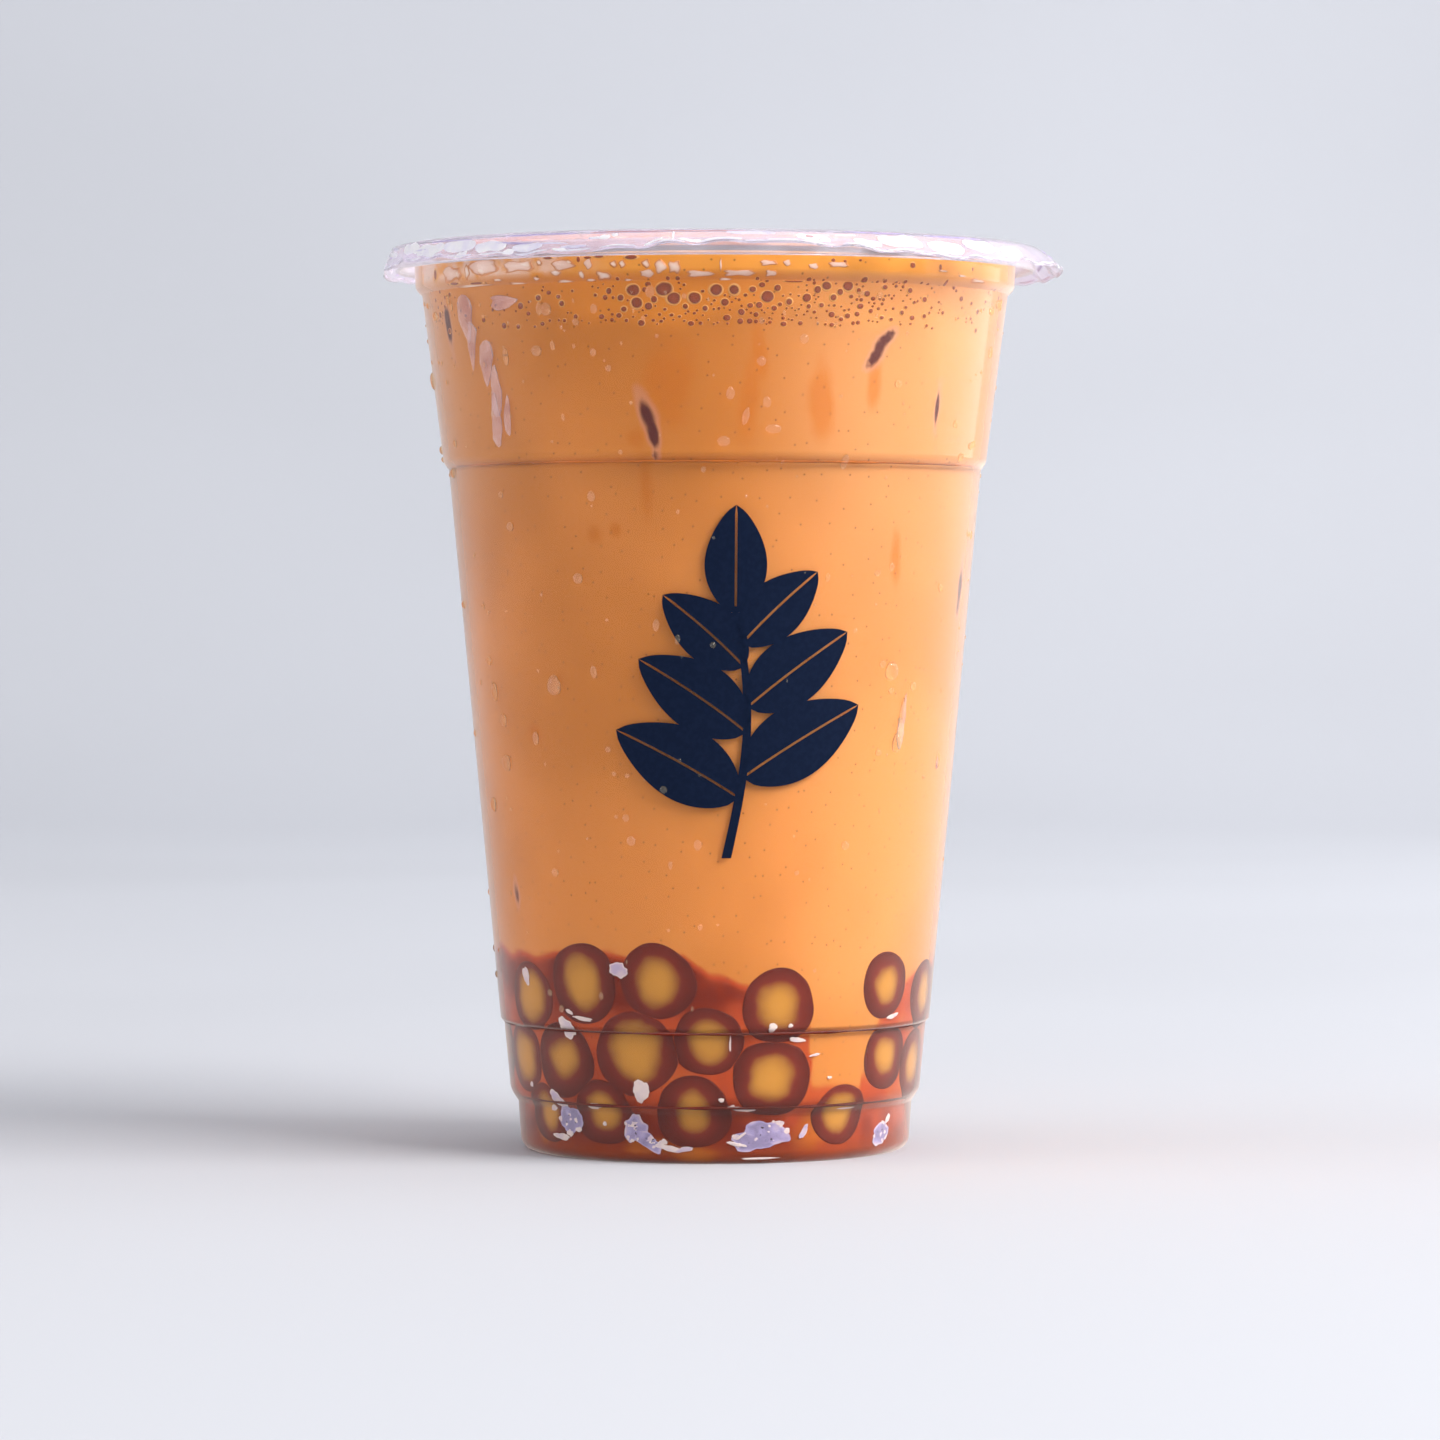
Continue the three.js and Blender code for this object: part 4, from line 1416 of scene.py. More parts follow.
# The drops that stand out: angle, height, half width, half height, turn, taper.
LARGE_DROPS = (
    (-39.3, 69.2, 1.1, 1.5, 0, 0.3), (44.0, 71.2, 1.1, 1.45, 0, 0.2), (-34.1, 122.8, 0.85, 0.95, 0, 0),
    (-37.1, 117.0, 0.85, 0.8, 0, 0), (-45.4, 116.3, 0.5, 1.3, 0, 0), (-61.7, 68.0, 0.7, 1.4, 0, 0.2),
    (-58.6, 57.7, 0.9, 1.2, 0, 0), (-68.2, 51.4, 0.7, 1.1, 0, 0), (48.4, 63.6, 0.55, 3.8, -4, 0.5),
    (47.4, 60.8, 0.8, 1.5, 0, 0.3), (9.1, 115.2, 0.7, 0.7, 0, 0), (3.1, 110.7, 0.65, 0.95, 0, 0.2),
    (6.2, 107.5, 0.5, 1.3, -14, 0.2), (11.8, 105.7, 1.2, 0.7, 0, 0), (1.8, 103.9, 0.95, 0.75, 0, 0),
    (-27.6, 120.9, 0.5, 0.55, 0, 0), (-21.5, 50.2, 0.5, 0.6, 0, 0), (-58.4, 63.9, 0.6, 1.0, 0, 0.1),
    (-49.8, 92.0, 0.65, 0.65, 0, 0), (-31.1, 84.5, 0.75, 0.8, 0, 0), (66.9, 58.0, 0.4, 1.2, 0, 0),
)
# Flat runs of water down the wall, painted milky white as a reflection, given as the drops are.
RUNS = (
    (-57.2, 122.0, 1.9, 3.6, 4, -0.55), (-56.0, 118.0, 1.0, 3.6, -2, -0.7),
    (-51.6, 115.5, 1.5, 3.4, -6, -0.5), (-49.4, 111.5, 1.2, 3.8, -4, 0.3),
    (-50.2, 107.4, 1.1, 4.0, 0, 0.4), (-46.5, 108.0, 0.7, 3.0, -3, 0.4),
    (48.4, 62.2, 0.75, 2.2, -6, 0.1), (49.2, 65.4, 0.42, 2.6, -4, 0.6),
    (-45.2, 124.0, 2.6, 1.1, 0, -0.2), (66.5, 57.6, 0.35, 1.0, 0, 0.3),
)
# How uneven a run's sides are: how many waves, and their size.
RUN_WAVES = ((3, 0.25), (6, 0.16), (11, 0.1))
RUN_THICKNESS = 0.16
# The pale colours of the runs' painted reflection.
RUN_SHEEN_COLOURS = (linear(240, 214, 214), linear(255, 240, 240))
# The small drops: between which heights, their smallest size, how much larger they get and how
# much longer than wide. A drop stands out by a share of its size.
DROP_HIGH = 125.0
DROP_LOW = 22.0
DROP_SIZE = 0.17
DROP_GROWTH = 0.55
DROP_STRETCHES = (1.0, 1.1, 1.3, 1.9)
DROP_DEPTH = 0.7
# The pale colour of the drops' painted sheen.
DROP_SHEEN_COLOUR = linear(255, 236, 204)


def drop_template():
    """A drop of half width 1, flat on its wall side."""
    deselect()
    bpy.ops.mesh.primitive_uv_sphere_add(segments=16, ring_count=10, radius=1, location=(0, 0, 0))
    piece = edit("drop")
    bpy.ops.mesh.select_all(action="DESELECT")
    bpy.ops.object.mode_set(mode="OBJECT")
    for vertex in piece.data.vertices:
        vertex.select = vertex.co.z < -0.01
    bpy.ops.object.mode_set(mode="EDIT")
    bpy.ops.transform.resize(value=(1, 1, 0.12))
    finish_edit(piece)
    return template_of(piece)


def water_material():
    """Clear water with a pale milky share, a painted sheen that brightens the drops as real ones
    brighten by bending light.
    """
    material = new_material("condensed water")
    inputs = {
        "Base Color": solid(DROP_SHEEN_COLOUR),
        "Roughness": 0.02,
        "IOR": 1.33,
        "Transmission Weight": 0.92,
    }
    return surface(material, inputs, clear=True)


class TEACUP_OT_condensation(bpy.types.Operator):
    """Lays drops of water on the outside of the cup"""
    bl_idname = "teacup.condensation"
    bl_label = "Condensation"

    def execute(self, context):
        settings = context.scene.teacup_drops
        template = drop_template()
        copies = []
        for angle, height, half_width, half_height, turn, taper in LARGE_DROPS:
            depth = DROP_DEPTH * min(half_width, half_height)
            points = bent_copy(template[0], (angle, height), (half_width, half_height), turn,
                               base=outer_radius, depth=depth, taper=taper)
            copies.append((points, 0.0))
        draw = random.Random(settings.seed)
        for _ in range(settings.small_count):
            angle = draw.uniform(-180, 180)
            height = DROP_HIGH - (DROP_HIGH - DROP_LOW) * draw.random() ** 2.0
            size = DROP_SIZE + DROP_GROWTH * draw.random() ** 2.6
            stretch = draw.choice(DROP_STRETCHES)
            points = bent_copy(template[0], (angle, height), (size, size * stretch),
                               draw.uniform(-8, 8), base=outer_radius, depth=DROP_DEPTH * size)
            copies.append((points, 0.0))
        drops = joined_copies("condensation", template, copies)
        drops.data.materials.append(water_material())
        smooth(drops, 80)
        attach(drops, "root")
        return {"FINISHED"}


def run_sheen_material():
    """A thin run of water, half see-through, painted milky white as a reflection."""
    material = new_material("milky water")
    place = object_place(material)
    cloud = between(material, noise(material, place, 300, 2), 0.35, 0.65)
    tint = mix(material, cloud, *RUN_SHEEN_COLOURS)
    inputs = {
        "Base Color": tint,
        "Roughness": 0.12,
        "IOR": 1.33,
        "Transmission Weight": 0.82,
    }
    return surface(material, inputs, clear=True)


class TEACUP_OT_water_runs_with_sheen(bpy.types.Operator):
    """Lays flat runs of water on the outside of the cup, painted milky white as reflections"""
    bl_idname = "teacup.water_runs"
    bl_label = "Water runs"

    def execute(self, context):
        settings = context.scene.teacup_drops
        template = drop_template()
        shape = template[0]
        draw = random.Random(settings.seed)
        copies = []
        for angle, height, half_width, half_height, turn, taper in RUNS:
            ragged = shape.copy()
            ragged[:, 0] += sum(
                draw.uniform(-1, 1) * size * np.sin(count * shape[:, 1] + draw.uniform(0, 6.3))
                for count, size in RUN_WAVES
            )
            points = bent_copy(ragged, (angle, height), (half_width, half_height), turn,
                               base=outer_radius, depth=RUN_THICKNESS, taper=taper)
            copies.append((points, 0.0))
        runs = joined_copies("water_runs", template, copies)
        runs.data.materials.append(run_sheen_material())
        smooth(runs, 80)
        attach(runs, "root")
        return {"FINISHED"}


# The sprig's leaves on its stem: place along the stem, side, length, half width, lean.
LEAVES = (
    (0.24, -1, 21.0, 5.2, 58), (0.32, 1, 21.0, 5.2, 56), (0.50, -1, 19.0, 4.8, 52),
    (0.60, 1, 18.5, 4.7, 50), (0.76, -1, 15.5, 4.1, 44), (0.85, 1, 15.0, 4.0, 42),
    (1.0, 0, 15.5, 4.2, 4),
)
LEAF_CURVE = 0.08
MIDRIB = 0.35
# The stem: its lowest point, its length, how far it bends and its half width at the bottom.
SPRIG_LOW = 44.5
SPRIG_STEM = 36.0
SPRIG_BEND = 3.0
STEM_WIDTH = 0.75
STEM_TAPER = 0.35
# No leaf starts further up the stem than this share, and the sprig is this much wider than drawn.
LEAF_LAST = 0.97
SPRIG_WIDEN = 1.02
SPRIG_LIFT = 0.01
SPRIG_GRID = (24, 6)


def stem_point(share):
    """The stem's middle at a share of its length: across and up."""
    across = SPRIG_BEND * math.sin(share * math.pi * 0.9) - SPRIG_BEND * 0.4
    return across, SPRIG_LOW + SPRIG_STEM * share


def half_leaf(points, start, lean, length, half_width, half):
    """One half of a leaf beside its midrib. points are 0 to 1 along and 0 to 1 across."""
    along = points[:, 0] * length
    swell = np.sin(np.pi * points[:, 0] ** 0.85) ** 0.75
    across = MIDRIB / 2 * np.minimum(1, swell * 3) + points[:, 1] * half_width * swell
    curve = LEAF_CURVE * length * (points[:, 0] ** 2) * math.copysign(1, lean) if lean else 0
    turn = math.radians(lean)
    x = along * math.sin(turn) + half * across * math.cos(turn) + curve * math.cos(turn)
    y = along * math.cos(turn) - half * across * math.sin(turn) - curve * math.sin(turn)
    return np.column_stack((start[0] + x, start[1] + y))


def strip(points, path, half_width):
    """A strip along a path, from a grid of points 0 to 1 along and 0 to 1 across."""
    places = np.array([path(share) for share in points[:, 0]])
    narrow = half_width * (1 - STEM_TAPER * points[:, 0])
    places[:, 0] += (points[:, 1] * 2 - 1) * narrow
    return places


def ink_material(settings):
    """Dark printing ink, slightly uneven and half glossy."""
    material = new_material("printed ink")
    place = object_place(material)
    grain = noise(material, place, 1400, 2)
    colour = mix(material, between(material, grain, 0.35, 0.7, 0.0, 0.25), settings.ink_colour,
                 [c * 1.6 + 0.004 for c in settings.ink_colour])
    inputs = {
        "Base Color": colour,
        "Roughness": 0.4,
        "Specular IOR Level": 0.05,
        "Normal": bump(material, grain, 0.15, 0.02),
    }
    return surface(material, inputs)


class TEACUP_OT_print_sprig(bpy.types.Operator):
    """Prints a plain leafy sprig on the front of the cup"""
    bl_idname = "teacup.print_sprig"
    bl_label = "Print"

    def execute(self, context):
        settings = context.scene.teacup_print
        parts = []
        for share, side, length, half_width, lean in LEAVES:
            for half in (-1, 1):
                start = stem_point(min(share, LEAF_LAST))
                parts.append(lambda p, s=start, t=lean * side, n=length, w=half_width, h=half:
                             half_leaf(p, s, t, n, w, h))
        parts.append(lambda p: strip(p, stem_point, STEM_WIDTH))
        pieces = []
        for shape in parts:
            deselect()
            bpy.ops.mesh.primitive_grid_add(
                x_subdivisions=SPRIG_GRID[0], y_subdivisions=SPRIG_GRID[1], size=1,
                location=(0, 0, 0))
            patch = bpy.context.object
            flat = points_of(patch)[:, :2] * MM + 0.5
            places = shape(flat)
            angle = settings.angle + places[:, 0] / MEAN_RADIUS * SPRIG_WIDEN
            radius = outer_radius(places[:, 1]) + SPRIG_LIFT
            move_points(patch, from_round(radius, angle, places[:, 1]))
            pieces.append(patch)
        join(pieces)
        sprig = edit("print_sprig")
        finish_edit(sprig)
        flat = Vector((1, 1, 0))
        outwards = sum(face.normal.dot(face.center * flat) for face in sprig.data.polygons)
        if outwards < 0:
            sprig.data.flip_normals()
        thick = sprig.modifiers.new("thickness", "SOLIDIFY")
        thick.thickness = settings.thickness
        thick.offset = 1
        bpy.context.view_layer.objects.active = sprig
        bpy.ops.object.modifier_apply(modifier=thick.name)
        sprig.data.materials.append(ink_material(settings))
        smooth(sprig, 30)
        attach(sprig, "root")
        return {"FINISHED"}


FILM_THICKNESS = 0.3
FILM_CLEAR = 0.02
# The rings of the flat part, up to the rim's outside. Within TAUT_RADIUS it isn't welded.
FILM_RADII = (0, 8, 16, 24, 30, 36, 40, 43, 44.7, 45.6, 46.6)
TAUT_RADIUS = 43.5
# How deep the waves in the gloss of the welded and of the taut film are, in metres.
WELD_WAVINESS = 0.00005
TAUT_WAVINESS = 0.00003
# The skirt: where it starts and how far that lies under the rim, where it ends, how much further
# it reaches on the right, its edge's height and how much lower that is at the sides.
SKIRT_START = 47.9
SKIRT_START_DROP = 0.3
SKIRT_REACH = 50.2
SKIRT_SHIFT = 1.4
SKIRT_EDGE_HEIGHT = 130.9
SKIRT_SIDE_DROOP = 1.3
SKIRT_STEPS = 8
SKIRT_REACH_WAVES = ((3, 0.3, 0.6), (8, 0.2, 2))
SKIRT_EDGE_WAVES = ((5, 0.5, 1),)


def film_outline():
    """The film's section while its skirt is still level."""
    under = [(radius, CUP_HEIGHT + FILM_CLEAR) for radius in FILM_RADII]
    for step in range(SKIRT_STEPS + 1):
        radius = SKIRT_START + (SKIRT_REACH - SKIRT_START) * step / SKIRT_STEPS
        under.append((radius, CUP_HEIGHT - SKIRT_START_DROP + FILM_CLEAR))
    over = [(radius, height + FILM_THICKNESS) for radius, height in reversed(under)]
    return under + over


def droop(points, wrinkle):
    """Bends the level skirt down to its wavy edge and wrinkles the film."""
    radius, angle, height = round_places(points)
    share = np.clip((radius - SKIRT_START) / (SKIRT_REACH - SKIRT_START), 0, 1)
    side = np.sin(angle)
    reach = SKIRT_REACH + SKIRT_SHIFT * side + waves(angle, SKIRT_REACH_WAVES)
    edge = SKIRT_EDGE_HEIGHT - SKIRT_SIDE_DROOP * side ** 2 + waves(angle, SKIRT_EDGE_WAVES)
    crimp = np.sin(31 * angle + 2 * np.sin(3 * angle)) + 0.6 * np.sin(47 * angle + 1.3)
    radius = radius + (reach - SKIRT_REACH) * share + wrinkle * 0.8 * crimp * share
    fall = (CUP_HEIGHT - SKIRT_START_DROP - edge) * share ** 1.15
    dents = np.sin(5 * angle + 0.4) * np.sin(radius / 6.5) + 0.5 * np.sin(9 * angle + radius / 3)
    inner = np.clip((44 - radius) / 12, 0, 1) * np.clip(radius / 8, 0, 1)
    height = height - fall + wrinkle * (crimp * share - 1.4 * np.abs(dents) * inner)
    return from_round(radius, angle, height)


# Blisters and creases in the skirt, where the film isn't welded, with painted highlights and painted
# reflections: angle, share of the way down, half width in millimetres, half share, turn in degrees,
# tone. Tone 1 is a white painted highlight, about 0.45 a lavender painted reflection in a crease, 0 is
# rosy.
SKIRT_MARKS = (
    (-48, 0.9, 1.3, 0.13, 8, 1), (-36.7, 0.88, 0.9, 0.12, 10, 1), (-26.6, 0.9, 1.1, 0.06, 0, 1),
    (-20.3, 0.42, 1, 0.06, 0, 0.9), (-18.5, 0.4, 0.8, 0.13, 0, 1), (-16.8, 0.32, 0.5, 0.1, 0, 1),
    (-10, 0.8, 1.3, 0.06, 14, 1), (-8, 0.86, 1, 0.05, -16, 1), (-6.8, 0.5, 0.16, 0.34, -8, 1),
    (-4, 0.82, 1.6, 0.08, -4, 1), (1, 0.88, 2.8, 0.07, 0, 1), (6, 0.3, 3.4, 0.16, 0, 0.8),
    (11, 0.9, 2.2, 0.06, 0, 0.9), (16.2, 0.6, 2.4, 0.26, 0, 1), (16.2, 0.6, 2, 0.17, 0, 0),
    (22, 0.35, 1.6, 0.06, 0, 1), (25.5, 0.7, 2.2, 0.16, 0, 1), (32, 0.5, 3.4, 0.3, 0, 1),
    (41, 0.62, 3.2, 0.26, 0, 1), (50, 0.45, 3.6, 0.26, 0, 0.95), (59, 0.6, 2.6, 0.24, 0, 1),
    (-13, 0.1, 7, 0.04, 0, 0.1), (-2, 0.12, 6, 0.03, 0, 0.1), (28, 0.06, 5, 0.04, 0, 0.45),
    (-31, 0.12, 6, 0.03, 0, 0.45), (-52, 0.2, 5, 0.03, 0, 0.5), (45, 0.1, 6, 0.04, 0, 0.5),
    (-38, 0.5, 5, 0.04, 0, 0.5), (-30, 0.62, 4, 0.03, 0, 0.7), (-62, 0.55, 3, 0.04, 0, 0.7),
    (-58, 0.6, 4.2, 0.3, 0, 0.95), (-49, 0.5, 3.6, 0.28, 2, 0.9), (-41, 0.62, 3, 0.24, 0, 0.9),
    (-33, 0.7, 2.6, 0.16, 0, 0.85), (-24, 0.8, 2, 0.06, 0, 0.7), (-66, 0.4, 3, 0.3, 0, 0.95),
)
# A pale painted highlight that is repeated all along the edge, given from its share of the way down.
EDGE_MARK = (0.96, 2.7, 0.03, 0, 0.85)
EDGE_MARK_ANGLES = range(-176, 180, 8)
# The marks that are drawn on the side that the front doesn't show: how many, and their angles.
DRAWN_MARKS = 60
DRAWN_FROM = 75
DRAWN_TO = 285
# How thick a mark is, and how much higher each next one lies.
MARK_THICKNESS = 0.06
MARK_STEP = 0.0008
# About the skirt's length down its slope, in millimetres, by which a mark turns.
SKIRT_LENGTH = 2.5


def blister_and_highlight_material():
    """Unwelded film with painted light: a white painted highlight where light strikes it, a lavender
    painted reflection in creases, rosy over the tea.
    """
    material = new_material("film blister")
    tone = attribute(material, "tone")
    grain = between(material, noise(material, object_place(material), 500, 2), 0.3, 0.7, -0.08, 0.08)
    colour = ramp(material, maths(material, "ADD", tone, grain), (
        (0.0, linear(214, 158, 160)),
        (0.45, linear(186, 170, 216)),
        (0.8, linear(238, 232, 250)),
        (1.0, linear(255, 252, 255)),
    ))
    return surface(material, {"Base Color": colour, "Roughness": 0.3})


class TEACUP_OT_film_blisters_and_highlights(bpy.types.Operator):
    """Lays thin blisters, creases and painted highlights on the film's skirt"""
    bl_idname = "teacup.film_blisters"
    bl_label = "Film blisters"

    def execute(self, context):
        settings = context.scene.teacup_film
        template = lens_template("blister", 20, 2)
        shape = squared(template[0], 3)
        draw = random.Random(settings.seed)
        marks = list(SKIRT_MARKS)
        marks += [(angle, *EDGE_MARK) for angle in EDGE_MARK_ANGLES]
        for _ in range(DRAWN_MARKS):
            place = (draw.uniform(DRAWN_FROM, DRAWN_TO), draw.uniform(0.15, 0.9))
            size = (draw.uniform(0.5, 3), draw.uniform(0.03, 0.1))
            marks.append((*place, *size, draw.uniform(-8, 8), draw.choice((0.45, 0.8, 1.0))))
        level = CUP_HEIGHT - SKIRT_START_DROP + FILM_CLEAR + FILM_THICKNESS
        copies = []
        for order, (angle, share, half_width, half_share, turn, tone) in enumerate(marks):
            ragged = shape.copy()
            ragged[:, 1] += 0.2 * np.sin(5 * shape[:, 0] + draw.uniform(0, 6)) * draw.uniform(0.3, 1)
            tilt = math.radians(turn)
            across = ragged[:, 0] * half_width * math.cos(tilt)
            slant = ragged[:, 0] * half_width * math.sin(tilt) / SKIRT_LENGTH
            down = share - ragged[:, 1] * half_share - slant
            flat = SKIRT_START + (SKIRT_REACH - SKIRT_START) * down
            lifted = level + shape[:, 2] * MARK_THICKNESS + MARK_STEP * order
            points = from_round(flat, math.radians(angle) + across / SKIRT_START, lifted)
            copies.append((droop(points, settings.wrinkle / MM), tone))
        blisters = joined_copies("film_blisters", template, copies)
        blisters.data.materials.append(blister_and_highlight_material())
        smooth(blisters, 60)
        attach(blisters, "root")
        return {"FINISHED"}


class TEACUP_OT_seal_film(bpy.types.Operator):
    """Spins the film and lets its trimmed skirt droop round the rim"""
    bl_idname = "teacup.seal_film"
    bl_label = "Seal film"

    def execute(self, context):
        settings = context.scene.teacup_film
        film = spun("seal_film_skin", film_outline(), settings.steps)
        move_points(film, droop(points_of(film), settings.wrinkle / MM))
        smooth(film, 60)
        welded = clear_plastic("welded film", settings.tint, 0.08, WELD_WAVINESS, 0.8,
                               haze=0.2, ior=1.35)
        taut = clear_plastic("taut film", settings.taut_tint, 0.05, TAUT_WAVINESS, 0.97)
        film.data.materials.append(welded)
        film.data.materials.append(taut)
        for polygon in film.data.polygons:
            middle = polygon.center / MM
            polygon.material_index = int(math.hypot(middle.x, middle.y) < TAUT_RADIUS)
        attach(film, "root")
        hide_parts("seal_film")
        return {"FINISHED"}


# The floor's width and its middle, and the round bend up to the backdrop behind it, in metres.
FLOOR_SIZE = 6
FLOOR_MIDDLE = -1.8
BEND_RADIUS = 0.8
BEND_STEPS = 12
BACKDROP_HEIGHT = 3
# What the lamps look at, and the lamps: azimuth and elevation in degrees, distance, size, colour.
AIM_HEIGHT = 0.065
LAMPS = {
    "key": (62, 38, 1.6, (1.1, 0.8), (1.0, 0.985, 0.96)),
    "edge": (112, 8, 1.1, (1.1, 0.9), (0.99, 0.99, 1.0)),
    "fill": (-80, 12, 1.3, (1.0, 0.8), (1.0, 0.98, 0.98)),
    "glint": (35, 50, 1.3, (0.07, 0.07), (1.0, 1.0, 1.0)),
    "backdrop": (165, 62, 1.6, (1.2, 0.5), (1.0, 1.0, 1.0)),
}
# The backdrop lamp leans back from straight down.
BACKDROP_LEAN = 38
BACKDROP_SPREAD = 120
SKY_COLOUR = (0.97, 0.98, 1.0, 1)
# The camera looks down by this angle in degrees, from a little to the right.
CAMERA_TILT = 1.196
CAMERA_SIDE = 0.00075
SENSOR_WIDTH = 36


def soft_lamp(name, azimuth, elevation, distance, size, colour, power):
    """A flat lamp that looks at the middle of the cup, placed by angles from the front."""
    turn = math.radians(azimuth)
    rise = math.radians(elevation)
    aim = Vector((0, 0, AIM_HEIGHT))
    level = math.cos(rise)
    way = Vector((math.sin(turn) * level, -math.cos(turn) * level, math.sin(rise)))
    bpy.ops.object.light_add(type="AREA", location=aim + way * distance)
    lamp = bpy.context.object
    lamp.name = name
    lamp.data.shape = "RECTANGLE"
    lamp.data.size = size[0]
    lamp.data.size_y = size[1]
    lamp.data.energy = power
    lamp.data.color = colour
    lamp.rotation_euler = way.to_track_quat("Z", "Y").to_euler()
    return lamp


def plaster_material(settings):
    """A pale matt surface with faint clouds, and painted light that makes it a little lighter to the
    right and at the back.
    """
    material = new_material("pale plaster")
    place = object_place(material)
    parts = node(material, "ShaderNodeSeparateXYZ", {0: place}).outputs
    # Painted light: the floor gets lighter towards the right and the backdrop at the back, as the lamps'
    # light would fall.
    across = between(material, parts["X"], -0.25, 0.25, 0.965, 1.03)
    back = between(material, parts["Y"], 0.1, 1.3, 0.96, 1.1)
    clouds = between(material, noise(material, place, 3.5, 1), 0.4, 0.75, 1.0, 0.97)
    light = maths(material, "MULTIPLY", maths(material, "MULTIPLY", across, back), clouds)
    parts = {0: settings.floor_colour, "Scale": light}
    colour = node(material, "ShaderNodeVectorMath", parts, operation="SCALE")
    inputs = {"Base Color": colour.outputs[0], "Roughness": 0.85, "Specular IOR Level": 0.2}
    return surface(material, inputs)


class TEACUP_OT_stage(bpy.types.Operator):
    """Adds the pale floor with its backdrop, the soft light and the camera"""
    bl_idname = "teacup.stage"
    bl_label = "Stage"

    def execute(self, context):
        settings = context.scene.teacup_stage
        deselect()
        bpy.ops.mesh.primitive_grid_add(
            x_subdivisions=2, y_subdivisions=2, size=FLOOR_SIZE, location=(0, FLOOR_MIDDLE, 0))
        floor = edit("floor")
        bpy.ops.mesh.select_all(action="DESELECT")
        bpy.ops.object.mode_set(mode="OBJECT")
        for edge in floor.data.edges:
            ends = [floor.data.vertices[index].co.y for index in edge.vertices]
            edge.select = min(ends) > FLOOR_SIZE / 2 - 0.1
            for index in edge.vertices:
                floor.data.vertices[index].select |= edge.select
        bpy.ops.object.mode_set(mode="EDIT")
        turns = [step / BEND_STEPS * math.pi / 2 for step in range(BEND_STEPS + 1)]
        moves = [
            (0, BEND_RADIUS * (math.sin(b) - math.sin(a)), BEND_RADIUS * (math.cos(a) - math.cos(b)))
            for a, b in zip(turns, turns[1:])
        ]
        for move in [*moves, (0, 0, BACKDROP_HEIGHT)]:
            bpy.ops.mesh.extrude_region_move(TRANSFORM_OT_translate={"value": move})
        bpy.ops.object.mode_set(mode="OBJECT")
        smooth(floor, 60)
        floor.data.materials.append(plaster_material(settings))
        lamps = {
            name: soft_lamp(name + " lamp", *place, getattr(settings, name + "_power"))
            for name, place in LAMPS.items()
        }
        lamps["glint"].visible_diffuse = False
        lamps["backdrop"].rotation_euler = (math.radians(BACKDROP_LEAN), 0, 0)
        lamps["backdrop"].data.spread = math.radians(BACKDROP_SPREAD)
        world = bpy.data.worlds.new("soft sky")
        world.use_nodes = True
        sky = world.node_tree.nodes["Background"]
        sky.inputs["Color"].default_value = SKY_COLOUR
        way = node(world, "ShaderNodeTexCoord").outputs["Generated"]
        back = node(world, "ShaderNodeSeparateXYZ", {0: way}).outputs["Y"]
        front = settings.sky_strength * settings.front_share
        strength = between(world, back, -0.6, 0.3, front, settings.sky_strength)
        world.node_tree.links.new(strength, sky.inputs["Strength"])
        context.scene.world = world
        context.scene.view_settings.view_transform = "Standard"
        tilt = math.radians(90 - CAMERA_TILT)
        place = (CAMERA_SIDE, -settings.camera_distance, settings.camera_height)
        bpy.ops.object.camera_add(location=place, rotation=(tilt, 0, 0))
        camera = context.object
        camera.data.lens = settings.lens
        camera.data.sensor_width = SENSOR_WIDTH
        context.scene.camera = camera
        return {"FINISHED"}


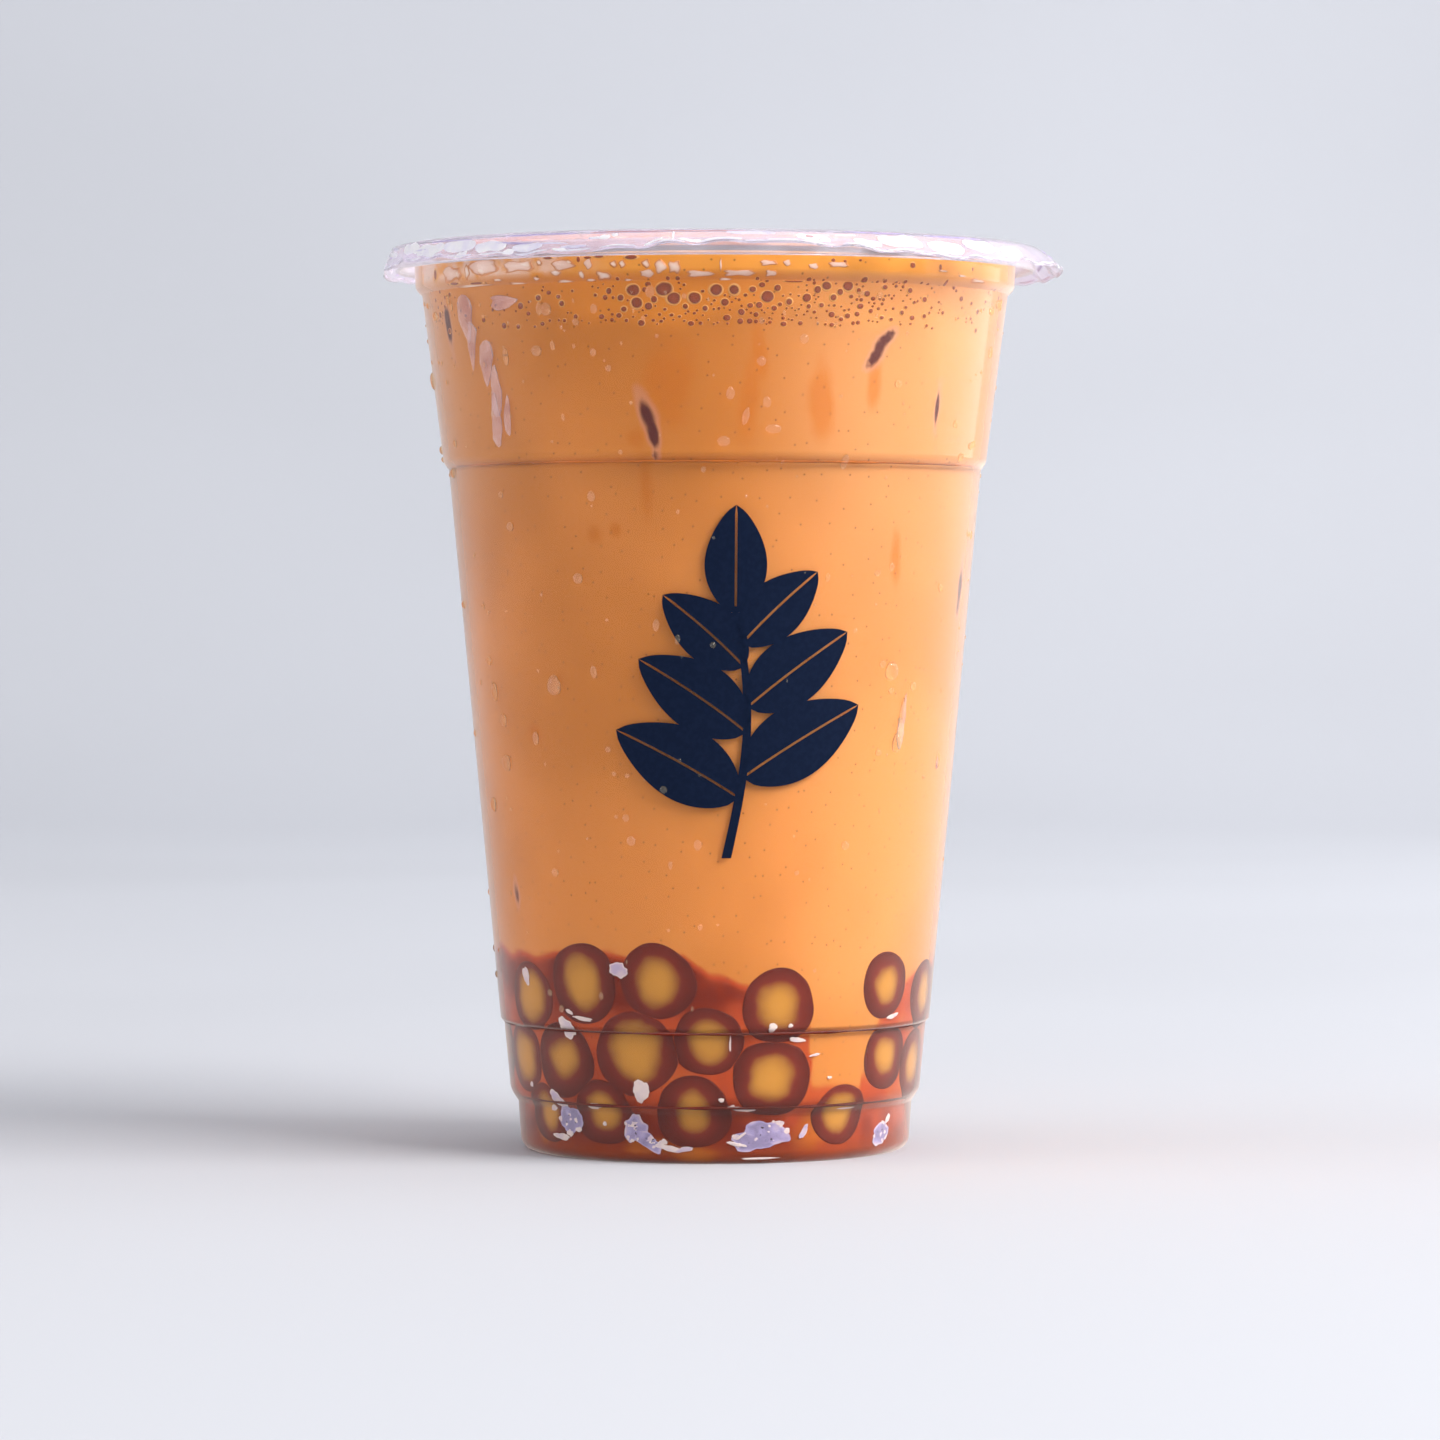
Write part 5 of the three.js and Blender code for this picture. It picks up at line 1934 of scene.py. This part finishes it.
GROUPS = {
    "cup": CupSettings,
    "tea": TeaSettings,
    "pearls": PearlSettings,
    "froth": FrothSettings,
    "pockets": PocketSettings,
    "drops": DropSettings,
    "print": PrintSettings,
    "film": FilmSettings,
    "stage": StageSettings,
}
OPERATORS = (
    TEACUP_OT_stage,
    TEACUP_OT_cup_shell,
    TEACUP_OT_milk_tea,
    TEACUP_OT_tapioca_pearls,
    TEACUP_OT_air_pockets,
    TEACUP_OT_froth,
    TEACUP_OT_froth_cap,
    TEACUP_OT_groove_shade,
    TEACUP_OT_condensation,
    TEACUP_OT_water_runs_with_sheen,
    TEACUP_OT_print_sprig,
    TEACUP_OT_seal_film,
    TEACUP_OT_film_blisters_and_highlights,
)


class TEACUP_PT_pieces(bpy.types.Panel):
    """Lists what the cup is made of"""
    bl_idname = "TEACUP_PT_pieces"
    bl_label = "Bubble tea"
    bl_space_type = "VIEW_3D"
    bl_region_type = "UI"
    bl_category = "Bubble tea"

    def draw(self, context):
        for operator in OPERATORS:
            self.layout.operator(operator.bl_idname)
        for name, group in GROUPS.items():
            box = self.layout.box()
            box.label(text=group.__doc__)
            for key in group.__annotations__:
                box.prop(getattr(context.scene, "teacup_" + name), key)


def register():
    """Adds the settings, the operators and the panel."""
    for name, group in GROUPS.items():
        bpy.utils.register_class(group)
        setattr(bpy.types.Scene, "teacup_" + name, bpy.props.PointerProperty(type=group))
    for operator in OPERATORS:
        bpy.utils.register_class(operator)
    bpy.utils.register_class(TEACUP_PT_pieces)


def unregister():
    """Removes the panel, the operators and the settings."""
    bpy.utils.unregister_class(TEACUP_PT_pieces)
    for operator in reversed(OPERATORS):
        bpy.utils.unregister_class(operator)
    for name, group in reversed(GROUPS.items()):
        delattr(bpy.types.Scene, "teacup_" + name)
        bpy.utils.unregister_class(group)


def main():
    """Makes every piece."""
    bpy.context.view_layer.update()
    register()
    bpy.ops.teacup.stage()
    bpy.ops.teacup.cup_shell()
    bpy.ops.teacup.milk_tea()
    bpy.ops.teacup.tapioca_pearls()
    bpy.ops.teacup.air_pockets()
    bpy.ops.teacup.froth()
    bpy.ops.teacup.froth_cap()
    bpy.ops.teacup.groove_syrup()
    bpy.ops.teacup.condensation()
    bpy.ops.teacup.water_runs()
    bpy.ops.teacup.print_sprig()
    bpy.ops.teacup.seal_film()
    bpy.ops.teacup.film_blisters()


if __name__ == "__main__":
    main()
